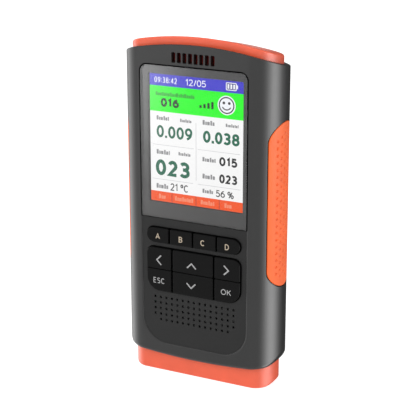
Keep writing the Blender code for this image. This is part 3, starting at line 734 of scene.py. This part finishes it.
def make_rear_cover(mesh):
    tools = []
    for index in range(1, 5):
        low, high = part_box(f"shell_screw_{index}")
        x, z = (low[0] + high[0]) / 2, (low[2] + high[2]) / 2
        tools.append(opening(lambda inset, x=x, z=z: disc_outline(x, z, SCREW_WELL_RADIUS - inset),
                             BACK_Y - SCREW_WELL_FLOOR, SCREW_WELL_DEPTH, WELL_EDGE, -1))
    low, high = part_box("fan_rotor")
    fan_z = (low[2] + high[2]) / 2
    half_x, half_z = REAR_SLOT_HALF
    for index in range(REAR_SLOT_COUNT):
        middle = fan_z + (index - (REAR_SLOT_COUNT - 1) / 2) * REAR_SLOT_PITCH
        tools.append(rounded_hole((-half_x, middle - half_z), (half_x, middle + half_z), REAR_SLOT_RADIUS,
                                  BACK_Y, WALL + MM, REAR_SLOT_EDGE, -1))
    stand_in("rear_cover_fine", cut(mesh, joined(tools)), "rear_cover")


def make_top_cap():
    top = form(CAP_INSET, flat(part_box("top_cap")[0][2]), crown(TOP_CAP_FRONT), CAP_INNER_RIM, CAP_RIM)
    top = cut(top, straight_form(CAP_INSET + CAP_WALL, NOTCH_BOTTOM, TOP_CAP_ROOF))
    for half, height in TOP_CAP_NOTCHES:
        top = cut(top, block((-half, NOTCH_Y[0], NOTCH_BOTTOM), (half, NOTCH_Y[1], height)))
    stand_in("top_cap_fine", top, "top_cap", ORANGE)


def make_bottom_cap():
    underside = footing(0, 0, CAP_CORNER, HALF_WIDTH - CAP_INSET)
    bottom = form(CAP_INSET, underside, flat(BOTTOM_CAP_TOP), CAP_RIM, CAP_INNER_RIM)
    bottom = cut(bottom, straight_form(CAP_INSET + CAP_WALL, BOTTOM_CAP_FLOOR, 2 * BOTTOM_CAP_TOP))
    low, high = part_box("charging_socket")
    socket = rounded_outline(low[:2], high[:2], (SOCKET_CORNER,) * 4, -SOCKET_SPACE)
    bottom = cut(bottom, skin([[(x, y, z) for x, y in socket] for z in (CUT_Z[0], -CUT_Z[0])]))
    stand_in("bottom_cap_fine", bottom, "bottom_cap", ORANGE)


# ---- grips

def dimple_tools():
    """Balls that press staggered rows of dimples into the flat grip."""
    ball_radius = (DIMPLE_RADIUS ** 2 + DIMPLE_DEPTH ** 2) / (2 * DIMPLE_DEPTH)
    made = bmesh.new()
    for column, y in enumerate(DIMPLE_COLUMNS):
        inset = DIMPLE_END_CURVE * (abs(y) / DIMPLE_COLUMNS[-1]) ** 2
        z = DIMPLE_Z[0] + (column % 2) * DIMPLE_PITCH / 2
        while z < DIMPLE_Z[0] + inset:
            z += DIMPLE_PITCH
        while z < DIMPLE_Z[1] - inset:
            place = Matrix.Translation((y * MM, DIMPLE_DEPTH - ball_radius, z))
            bmesh.ops.create_uvsphere(made, u_segments=DIMPLE_STEPS[0], v_segments=DIMPLE_STEPS[1],
                                       radius=ball_radius, matrix=place)
            z += DIMPLE_PITCH
    return finished(made, "dimples")


def flat_grip():
    """The grip rolled out flat: X is the place along the depth, Y the distance below the surface."""
    mesh = cut(plate(grip_outline, 0, GRIP_THICKNESS, GRIP_EDGE, 5), dimple_tools())
    bent = bmesh.new()
    bent.from_mesh(mesh)
    for step in range(-GRIP_BENDS, GRIP_BENDS + 1):
        geometry = bent.verts[:] + bent.edges[:] + bent.faces[:]
        bmesh.ops.bisect_plane(bent, geom=geometry, plane_co=(step * GRIP_BEND_PITCH, 0, 0),
                               plane_no=(1, 0, 0))
    return bent


def make_grip(name, node, side):
    bent = flat_grip()
    for vertex in bent.verts:
        across, depth, z = vertex.co
        angle = math.asin(across / HALF_DEPTH)
        x = FLAT_HALF + (SIDE_REACH - depth) * math.cos(angle)
        vertex.co = (side * x, MIDDLE_Y + (HALF_DEPTH - depth) * math.sin(angle), z)
    bmesh.ops.recalc_face_normals(bent, faces=bent.faces)
    mesh = finished(bent, name)
    smooth(mesh, 32)
    piece = new_piece(name, mesh, RUBBER)
    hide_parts(node)


# ---- window, fascia and keys

def make_window():
    glass = plate(lambda inset: window_outline(inset + WINDOW_RIM), FRONT_Y - WINDOW_PROUD, WINDOW_HIGH[1],
                  WINDOW_EDGE)
    stand_in("window_glass_fine", glass, "window_lens", GLASS)
    back = WINDOW_HIGH[1] + BORDER_SPACE
    border = slab(window_outline(0), back, back + BORDER_THICKNESS)
    through = slab(rounded_outline(*BORDER_OPENING, (MM,) * 4), back - MM, back + MM)
    new_piece("window_border_print", cut(border, through), BORDER_PAINT)
    # A near-black ring fills the gap round the glass and rims the glass's edge: painted shade, standing for
    # the shadow in that gap.
    gap_shade_front, gap_shade_back = (FRONT_Y + depth for depth in GAP_SHADE_DEPTH)
    gap_shade = slab(window_gap(BOND), gap_shade_front, gap_shade_back)
    gap_shade = cut(gap_shade, slab(window_outline(0), FRONT_Y - RIM_PROUD, gap_shade_back), "UNION")
    gap_shade = cut(gap_shade, slab(window_outline(WINDOW_RIM - BOND), FRONT_Y - MM, FRONT_Y + 2 * MM))
    below = block((-CUT_X, -CUT_Y, 0), (CUT_X, CUT_Y, WINDOW_LOW[2]))
    new_piece("window_gap_painted_shade", cut(gap_shade, below), GAP_SHADE_PAINT)


def make_fascia():
    front, back = FASCIA_LOW[1], FASCIA_HIGH[1]
    bottom = POCKET_BOTTOM_RADIUS - GAP + FASCIA_SPREAD
    radii = (bottom, bottom, SQUARE_CORNER, SQUARE_CORNER)
    low = (FASCIA_LOW[0] - FASCIA_SPREAD, FASCIA_LOW[2] - FASCIA_SPREAD)
    high = (FASCIA_HIGH[0] + FASCIA_SPREAD, FASCIA_HIGH[2])
    mesh = plate(lambda inset: rounded_outline(low, high, radii, inset, 14), front, back, FASCIA_EDGE)
    depth = back - front + MM
    tools = [opening(outline_at, front, depth, PLATE_EDGE)
             for outline_at in (soft_opening(), navigation_opening())]
    for row in range(GRILLE_ROWS):
        skipped = 1 if row == GRILLE_ROWS - 1 else 0
        for column in range(skipped, GRILLE_COLUMNS - skipped):
            x = -GRILLE_HALF + 2 * GRILLE_HALF * column / (GRILLE_COLUMNS - 1)
            z = GRILLE_TOP - row * GRILLE_PITCH
            tools.append(opening(
                lambda inset, x=x, z=z: disc_outline(x, z, GRILLE_HOLE / 2 - inset, 18),
                front, depth, GRILLE_EDGE, steps=3))
    stand_in("keypad_fascia_fine", cut(mesh, joined(tools)), "keypad_fascia", FASCIA)


def make_key(name, radii):
    low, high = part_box(name)
    bottom, top = low[2], high[2]
    if name in SOFT_KEYS or name in NAVIGATION_KEYS[3:]:
        bottom += KEY_LIP
    if name in SOFT_KEYS or name in NAVIGATION_KEYS[:3]:
        top -= KEY_LIP
    left, right = low[0], high[0]
    left += SIDE_SPACE * (name not in LEFT_KEYS)
    right -= SIDE_SPACE * (name not in RIGHT_KEYS)
    bottom -= ROW_SPACE * (name in NAVIGATION_KEYS[:3])
    top += ROW_SPACE * (name in NAVIGATION_KEYS[3:])
    face = low[1] + SIGN_THICKNESS
    mesh = plate(lambda inset: rounded_outline((left, bottom), (right, top), radii, inset, 10),
                 face, high[1] - KEY_BASE, KEY_EDGE, 6)
    flange = block((low[0] + FLANGE_SPACE, high[1] - KEY_FLANGE, low[2]),
                   (high[0] - FLANGE_SPACE, high[1], high[2]))
    mesh = cut(mesh, flange, "UNION")
    stand_in(name + "_fine", mesh, name, KEY, name + "_body")
    return face


def make_keys():
    """The ten keys and their prints, whose places are in millimetres."""
    end = SOFT_END_RADIUS - GAP
    corner = KEY_CORNER
    shapes = {name: (corner,) * 4 for name in SOFT_KEYS + NAVIGATION_KEYS}
    shapes["key_a"] = (end, corner, corner, end)
    shapes["key_d"] = (corner, end, end, corner)
    shapes["key_left"] = (corner, corner, corner, NAVIGATION_TOP_RADIUS)
    shapes["key_right"] = (corner, corner, NAVIGATION_TOP_RADIUS, corner)
    shapes["key_escape"] = (NAVIGATION_BOTTOM_RADIUS, corner, corner, corner)
    shapes["key_ok"] = (corner, NAVIGATION_BOTTOM_RADIUS, corner, corner)
    faces = {name: make_key(name, radii) for name, radii in shapes.items()}
    signs = {
        "key_a": ("A", -20.55, -18.05, 73.0, 0.45),
        "key_b": ("B", -7.5, -5.5, 73.0, 0.45),
        "key_c": ("C", 4.5, 6.7, 73.1, 0.45),
        "key_d": ("D", 17.8, 20.0, 73.0, 0.45),
        "key_escape": ("ESC", -22.0, -15.7, 49.5, 0.42),
        "key_ok": ("OK", 15.7, 21.3, 49.5, 0.42),
    }
    for name, (text, left, right, bottom, stroke) in signs.items():
        mesh = lettering(text, (left, bottom), (right, bottom + SIGN_HEIGHT), stroke,
                         faces[name] - SIGN_THICKNESS, SIGN_THICKNESS, 0.2)
        new_piece(name + "_sign", mesh, SOFT_SIGN if name in SOFT_KEYS else SIGN, name + "_body")
    arrows = {
        "key_left": ((-17.7, 64.3), (-20.0, 62.0), (-17.7, 59.7)),
        "key_up": ((-2.75, 60.5), (-0.5, 62.8), (1.75, 60.5)),
        "key_right": ((17.5, 64.6), (19.8, 62.4), (17.5, 60.2)),
        "key_down": ((-3.05, 52.1), (-0.8, 49.8), (1.45, 52.1)),
    }
    for name, corners in arrows.items():
        mesh = chevron(corners, ARROW_STROKE, faces[name] - SIGN_THICKNESS, SIGN_THICKNESS)
        new_piece(name + "_sign", mesh, SIGN, name + "_body")


# ---- lettering and graphics

def loop(x, y, wide, high):
    """Whole ellipse, marked as closed by repeating its first point."""
    points = arc(x, y, wide, high, 0, 360)
    return points[:-1] + points[:1]


# Centre lines of the characters in a box one unit wide and high, with each character's width as
# a share of a digit's.
CHARACTERS = {
    "0": (1, [loop(0.5, 0.5, 0.5, 0.5)]),
    "1": (0.66, [[(0, 0.76), (0.75, 1), (0.75, 0)]]),
    "2": (0.96, [arc(0.46, 0.71, 0.46, 0.29, 160, -30) + [(0, 0), (1, 0)]]),
    "3": (0.96, [arc(0.42, 0.76, 0.5, 0.24, 150, -90) + [(0.22, 0.52)],
                 [(0.22, 0.52)] + arc(0.42, 0.26, 0.56, 0.26, 90, -150)]),
    "4": (1.04, [[(0.76, 0), (0.76, 0.98)], [(0.76, 0.98), (0, 0.27), (1, 0.27)]]),
    "5": (0.94, [[(0.93, 1), (0.14, 1), (0.08, 0.56)] + arc(0.42, 0.32, 0.56, 0.32, 115, -150)]),
    "6": (1, [loop(0.5, 0.31, 0.5, 0.31), arc(1, 0.31, 1, 0.69, 100, 180)]),
    "8": (1, [loop(0.5, 0.76, 0.43, 0.24), loop(0.5, 0.27, 0.5, 0.27)]),
    "9": (1, [loop(0.5, 0.69, 0.5, 0.31), arc(0, 0.69, 1, 0.69, -80, 0)]),
    ".": (0.3, [[(0.5, 0)]]),
    ":": (0.3, [[(0.5, 0.12)], [(0.5, 0.7)]]),
    "/": (0.6, [[(0, 0), (1, 1)]]),
    "%": (1.45, [loop(0.2, 0.76, 0.2, 0.24), loop(0.8, 0.24, 0.2, 0.24), [(0.78, 1), (0.22, 0)]]),
    "\u00b0": (0.66, [loop(0.5, 0.8, 0.5, 0.2)]),
    " ": (0.35, []),
    "A": (1.1, [[(0, 0), (0.5, 1), (1, 0)], [(0.2, 0.33), (0.8, 0.33)]]),
    "B": (0.95, [[(0, 0.52), (0, 1)] + arc(0.5, 0.76, 0.42, 0.24, 90, -90) + [(0, 0.52)],
                 [(0, 0), (0, 0.52)] + arc(0.5, 0.26, 0.5, 0.26, 90, -90) + [(0, 0)]]),
    "C": (1, [arc(0.56, 0.5, 0.56, 0.5, 45, 315)]),
    "D": (1, [[(0, 0), (0, 1)] + arc(0.4, 0.5, 0.6, 0.5, 90, -90) + [(0, 0)]]),
    "E": (0.85, [[(1, 1), (0, 1), (0, 0), (1, 0)], [(0, 0.52), (0.88, 0.52)]]),
    "K": (1, [[(0, 0), (0, 1)], [(0.95, 1), (0, 0.40)], [(0.33, 0.61), (1, 0)]]),
    "O": (1.25, [loop(0.5, 0.5, 0.5, 0.5)]),
    "S": (0.9, [arc(0.5, 0.755, 0.46, 0.245, 40, 270)[:-1] + arc(0.5, 0.255, 0.5, 0.255, 90, -140)]),
}


def stroke_mesh(points, width, front, thickness):
    """Flat stroke of even width along a line of X and Z points; a line whose last point repeats its
    first is closed."""
    closed = points[0] == points[-1]
    if closed:
        points = points[:-1]
    count = len(points)
    made = bmesh.new()
    rows = []
    for index, (x, z) in enumerate(points):
        headings = []
        for first, second in ((index - 1, index), (index, index + 1)):
            if closed or (first >= 0 and second < count):
                (x0, z0), (x1, z1) = points[first % count], points[second % count]
                length = math.hypot(x1 - x0, z1 - z0)
                headings.append(((x1 - x0) / length, (z1 - z0) / length))
        along = sum((Vector(heading) for heading in headings), Vector((0, 0))).normalized()
        reach = width / 2 / max(along.dot(Vector(headings[0])), 0.5)
        row = []
        for side, y in ((1, front), (-1, front), (-1, front + thickness), (1, front + thickness)):
            row.append(made.verts.new((x - side * along.y * reach, y, z + side * along.x * reach)))
        rows.append(row)
    for index in range(count if closed else count - 1):
        here, there = rows[index], rows[(index + 1) % count]
        for corner in range(4):
            after = (corner + 1) % 4
            made.faces.new((here[corner], here[after], there[after], there[corner]))
    if not closed:
        made.faces.new(rows[0])
        made.faces.new(rows[-1])
    bmesh.ops.recalc_face_normals(made, faces=made.faces)
    return finished(made, "stroke")


def lettering(text, low, high, stroke, front, thickness, space=0.12):
    """Characters of even stroke that fill the box from low to high, in millimetres as X and Z."""
    shares = [CHARACTERS[letter][0] for letter in text]
    unit = (high[0] - low[0]) / (sum(shares) + space * (len(text) - 1))
    depth = high[1] - low[1] - stroke
    start = low[0]
    meshes = []
    for letter, share in zip(text, shares):
        width = max(unit * share - stroke, 0)
        glyph = None
        for line in CHARACTERS[letter][1]:
            points = [((start + stroke / 2 + width * x) * MM, (low[1] + stroke / 2 + depth * z) * MM)
                      for x, z in line]
            if len(points) == 1:
                x, z = points[0]
                points = [(x, z - stroke / 2 * MM), (x, z + stroke / 2 * MM)]
            mesh = stroke_mesh(points, stroke * MM, front, thickness)
            glyph = cut(glyph, mesh, "UNION") if glyph else mesh
        if glyph:
            meshes.append(glyph)
        start += unit * (share + space)
    return joined(meshes)


def scaled(points):
    """Points given in millimetres."""
    return [(x * MM, z * MM) for x, z in points]


def bar(start, stop, width, front, thickness):
    """Straight line with rounded ends, in millimetres as X and Z."""
    heading = math.degrees(math.atan2(stop[1] - start[1], stop[0] - start[0]))
    half = width / 2
    outline = arc(*stop, half, half, heading - 90, heading + 90, 8)
    outline += arc(*start, half, half, heading + 90, heading + 270, 8)
    return slab(scaled(outline), front, front + thickness)


def chevron(corners, width, front, thickness):
    first, tip, last = corners
    return cut(bar(first, tip, width, front, thickness), bar(tip, last, width, front, thickness), "UNION")


# What the display shows is drawn in millimetres, in layers; higher ones lie nearer the window.

def layered(outline, layer):
    front = SCREEN_Y - layer * LAYER
    return slab(scaled(outline), front, front + LAYER_THICKNESS)


def patch(left, right, bottom, top, layer=2, radius=0.05):
    return layered(rounded_outline((left, bottom), (right, top), (radius,) * 4, 0, 5), layer)


def disc(x, z, radius, layer):
    return layered(disc_outline(x, z, radius, 48), layer)


def band(x, z, radius, width, start, stop, layer, steps=20):
    """Part of a ring, between two angles in degrees."""
    outer, inner = radius + width / 2, radius - width / 2
    outline = arc(x, z, outer, outer, start, stop, steps) + arc(x, z, inner, inner, stop, start, steps)
    return layered(outline, layer)


def words(text, left, right, bottom, top, stroke, space=0.12):
    return lettering(text, (left, bottom), (right, top), stroke, SCREEN_Y - 2 * LAYER, LAYER_THICKNESS, space)


def caption(left, right, bottom, top):
    """Small print that stands for words: a row of blocks of uneven width and height."""
    widths = (1.0, 0.7, 1.2, 0.8, 1.0, 0.6, 1.1, 0.9)
    heights = (1.0, 0.72, 0.72, 1.0, 0.72, 0.9, 0.72)
    unit = (top - bottom) * CAPTION_UNIT
    blocks = []
    x = left
    index = 0
    while x < right - unit * CAPTION_LEAST:
        width = min(unit * widths[index % len(widths)], right - x)
        height = (top - bottom) * heights[index % len(heights)]
        blocks.append(patch(x, x + width * CAPTION_INK, bottom, bottom + height, radius=0.12))
        x += width
        index += 1
    return joined(blocks)


def make_display():
    """What the lit display shows; each colour is one piece of thin layers on the panel."""
    left, right = -25.1, 25.1
    shown = {
        HEADER: [patch(left, right, 149.85, 155.6, 1)],
        BATTERY_SHADE: [patch(16.35, 21.05, 151.4, 154.4, 3, 0.2)],
        AIR_GREEN: [patch(left, right, 137.15, 149.85, 1)],
        SOFT_BAR: [patch(left, right, 91.5, 96.6, 1)],
        PALE: [
            words("09:38:42", -22.5, -10.2, 151.4, 154.2, 0.34, 0.28),
            words("12/05", -5.6, 5.4, 151.2, 154.4, 0.42),
            patch(15.9, 21.5, 151.0, 154.8, 2, 0.5), patch(21.4, 22.2, 152.0, 153.8, 2, 0.3),
            disc(16.3, 143.65, 4.7, 2),
            disc(16.3, 143.65, 3.5, 4),
        ] + [patch(x, x + 0.95, 151.8, 154.0, 4, 0.1) for x in (16.75, 18.25, 19.75)],
        SMILE: [
            disc(16.3, 143.65, 4.1, 3),
            disc(14.9, 144.75, 0.68, 5), disc(17.75, 144.75, 0.68, 5),
            band(16.3, 143.9, 2.4, 0.55, 208, 332, 5),
        ],
        GREEN_PRINT: [caption(-21.9, -0.6, 145.0, 147.0)],
        GREEN_INK: [
            words("016", -19.1, -9.2, 139.6, 143.95, 1.1),
        ] + [patch(1.9 + 2.1 * step, 3.1 + 2.1 * step, 141.1, 142.4 + 0.7 * step) for step in range(4)],
        TEAL: [
            words("0.009", -21.6, -2.0, 124.15, 130.3, 1.15, 0.14),
            words("0.038", 3.8, 23.2, 124.25, 130.2, 1.3, 0.14),
            words("023", -22.3, -3.4, 104.9, 113.0, 1.75, 0.18),
        ],
        INK: [
            words("015", 12.5, 22.1, 113.6, 118.1, 1.0, 0.14),
            words("023", 12.5, 22.1, 105.0, 109.5, 1.0, 0.14),
        ],
        SMALL_INK: [
            words("21 \u00b0C", -14.2, -4.4, 97.7, 101.5, 0.54),
            words("56 %", 10.8, 20.3, 97.8, 101.3, 0.52),
        ],
        PRINT: [caption(*box) for box in (
            (-21.5, -14.3, 132.9, 135.0), (-8.6, -2.0, 133.0, 134.6), (3.6, 10.2, 133.0, 135.3),
            (15.9, 22.7, 133.2, 134.8), (-21.7, -14.3, 115.7, 118.0), (-9.6, -2.8, 116.2, 117.9),
            (3.5, 10.9, 114.8, 117.0), (3.5, 10.7, 106.2, 108.6), (-22.0, -15.3, 98.2, 100.6),
            (3.5, 9.4, 98.9, 101.0))],
        GRID: [patch(*box) for box in (
            (-0.12, 0.12, 104.4, 133.4), (-23.9, -1.2, 120.3, 120.5), (0.9, 23.6, 120.3, 120.5),
            (-24.2, -1.7, 102.8, 103.0), (1.0, 23.8, 102.8, 103.0))],
        SOFT_MARK: [caption(*span, 92.9, 95.2) for span in (
            (-20.7, -16.6), (-11.8, -1.3), (2.5, 10.1), (15.4, 19.9))],
        SOFT_LINE: [patch(x - 0.25, x + 0.25, 91.6, 96.5) for x in (-13.4, -0.1, 12.6)],
    }
    for surface, meshes in shown.items():
        new_piece("screen_" + surface.name, joined(meshes), surface)
    low, high = (PANEL_LOW[0], PANEL_LOW[2]), (PANEL_HIGH[0], PANEL_HIGH[2])
    radii = (PANEL_CORNER,) * 4
    outside = slab(rounded_outline(low, high, radii, -PANEL_EDGE_WIDTH, 3), SCREEN_Y - PANEL_EDGE_PROUD,
                   PANEL_HIGH[1])
    inside = slab(rounded_outline(low, high, radii, -BOND, 3), SCREEN_Y - MM, PANEL_HIGH[1] + MM)
    new_piece("screen_edge", cut(outside, inside), BORDER_PAINT)


# ---- pieces kept from the CAD

def dress_nodes():
    """New materials for the CAD solids that stay."""
    surfaces = {
        # The vent cloth's dark red is painted shade of orange plastic behind the slots.
        PAINTED_SHADE_VENT_CLOTH: ("vent_mesh",),
        SPEAKER_CLOTH: ("grille_mesh",),
        BORDER_PAINT: ("display_frame",),
        SCREEN_WHITE: ("display_panel",),
        DIFFUSER: ("display_backlight",),
        SILICONE: ("keypad_mat",),
        INNER_PLASTIC: ("speaker", "sensor_housing", "sensor_cover", "fan_rotor"),
        BOARD: ("main_board",),
        CHIP: ("control_chip",),
        TIN: ("charging_socket",),
        FOIL: ("battery",),
        BRASS: ("laser_module",),
        CAN: ("formaldehyde_sensor", "vapour_sensor"),
        WHITE_PLASTIC: ("humidity_sensor",),
        STEEL: tuple(f"shell_screw_{index}" for index in range(1, 5)) + ("board_screw_1", "board_screw_2"),
    }
    for surface, names in surfaces.items():
        for name in names:
            for slot in bpy.data.objects[name].material_slots:
                slot.material = surface


# ---- studio

def towards(turn, rise):
    """Direction from the object's middle: turn runs from the front towards +X, rise is above level."""
    return Vector((math.sin(turn) * math.cos(rise), -math.cos(turn) * math.cos(rise), math.sin(rise)))


def make_camera():
    camera = bpy.data.cameras.new("camera")
    camera.lens = CAMERA_LENS
    camera.sensor_width = SENSOR_WIDTH
    camera.clip_start = 10 * MM
    holder = in_scene("camera", camera)
    away = towards(CAMERA_TURN, CAMERA_TILT)
    holder.location = CAMERA_AIM + CAMERA_DISTANCE * away
    holder.rotation_euler = (-away).to_track_quat("-Z", "Y").to_euler()
    bpy.context.scene.camera = holder


def glow(name, stops, lean):
    """Light that runs through stops of strength across a card, along a line that leans from level."""
    made = Nodes(name)
    turned = made.add("Mapping", Vector=made.place, Rotation=(0, 0, -math.radians(lean)))
    split = made.add("SeparateXYZ", Vector=turned.outputs["Vector"])
    across = made.add("MapRange", Value=split.outputs["X"], From_Min=-0.5, From_Max=0.5)
    strongest = max(strength for _, strength in stops)
    colours = [(position, grey(strength / strongest)) for position, strength in stops]
    emission = made.add("Emission", Color=made.ramp(across.outputs["Result"], colours), Strength=strongest)
    return made.finish(emission.outputs["Emission"])


def card(name, turn, rise, distance, width, height, stops, lean=0):
    """Glowing or dark card that only reflections see, facing the middle of the monitor; the angles are
    in degrees."""
    made = bmesh.new()
    bmesh.ops.create_grid(made, x_segments=1, y_segments=1, size=0.5)
    mesh = finished(made, name)
    mesh.materials.append(glow(name, stops, lean))
    piece = in_scene(name, mesh)
    away = towards(math.radians(turn), math.radians(rise))
    piece.location = CARDS_MIDDLE + away * distance
    piece.rotation_euler = (-away).to_track_quat("Z", "Y").to_euler()
    piece.scale = (width, height, 1)
    for kind in ("camera", "diffuse", "transmission", "volume_scatter", "shadow"):
        setattr(piece, "visible_" + kind, False)


def make_cards():
    card("window_light", -26, CARDS_RISE, 0.9, 0.36, 0.6,
         [(0.0, 0.6), (0.363, 0.65), (0.52, 0.72), (0.672, 0.95), (0.70, 1.2), (0.735, 1.75), (0.765, 2.25),
          (0.80, 2.7), (0.84, 3.0), (1.0, 3.0)], 33)
    card("side_light", 97, CARDS_RISE, 0.6, 1.2, 1.0,
         [(0.0, 0.3), (0.234, 0.6), (0.366, 3.8), (0.47, 7.6), (0.60, 8.2), (0.755, 3.6), (0.905, 1.2),
          (1.0, 1.0)])
    card("side_shade", 172, CARDS_RISE, 0.6, 0.66, 1.0, [(0.0, 0.1), (1.0, 0.1)])
    card("left_light", -82, CARDS_RISE, 0.8, 0.92, 1.0, [(0.0, 0.7), (0.35, 2.0), (0.75, 3.0), (1.0, 2.4)])
    card("back_shade", 195, 38, 0.8, 1.1, 0.9, [(0.0, 0.15), (1.0, 0.15)])


def make_floor():
    made = bmesh.new()
    bmesh.ops.create_grid(made, x_segments=1, y_segments=1, size=3)
    mesh = finished(made, "floor")
    mesh.materials.append(Nodes("pale_floor").plain(
        Base_Color=(0.5, 0.5, 0.5, 1), Roughness=0.9, Specular_IOR_Level=0.0,
        Emission_Color=(1, 1, 1, 1), Emission_Strength=0.8))
    floor = in_scene("floor", mesh)
    floor.location.z = -0.1 * MM
    floor.visible_glossy = False


def make_studio():
    scene = bpy.context.scene
    scene.view_settings.view_transform = "Standard"
    scene.world = bpy.data.worlds.new("studio")
    scene.world.use_nodes = True
    sky = scene.world.node_tree.nodes["Background"]
    sky.inputs["Color"].default_value = (1, 1, 1, 1)
    sky.inputs["Strength"].default_value = 1.0
    make_floor()
    make_cards()
    lamp = bpy.data.lights.new("front_light", "AREA")
    lamp.energy = LAMP_POWER
    lamp.size = LAMP_SIZE
    holder = in_scene("front_light", lamp)
    holder.location = LAMP_PLACE
    holder.rotation_euler = (LAMP_AIM - LAMP_PLACE).to_track_quat("-Z", "Y").to_euler()
    holder.visible_glossy = False
    holder.visible_camera = False


make_sleeve()
make_top_cap()
make_bottom_cap()
make_grip("grip_left_fine", "grip_left", -1)
make_grip("grip_right_fine", "grip_right", 1)
make_window()
make_fascia()
make_keys()
make_display()
dress_nodes()
make_camera()
make_studio()
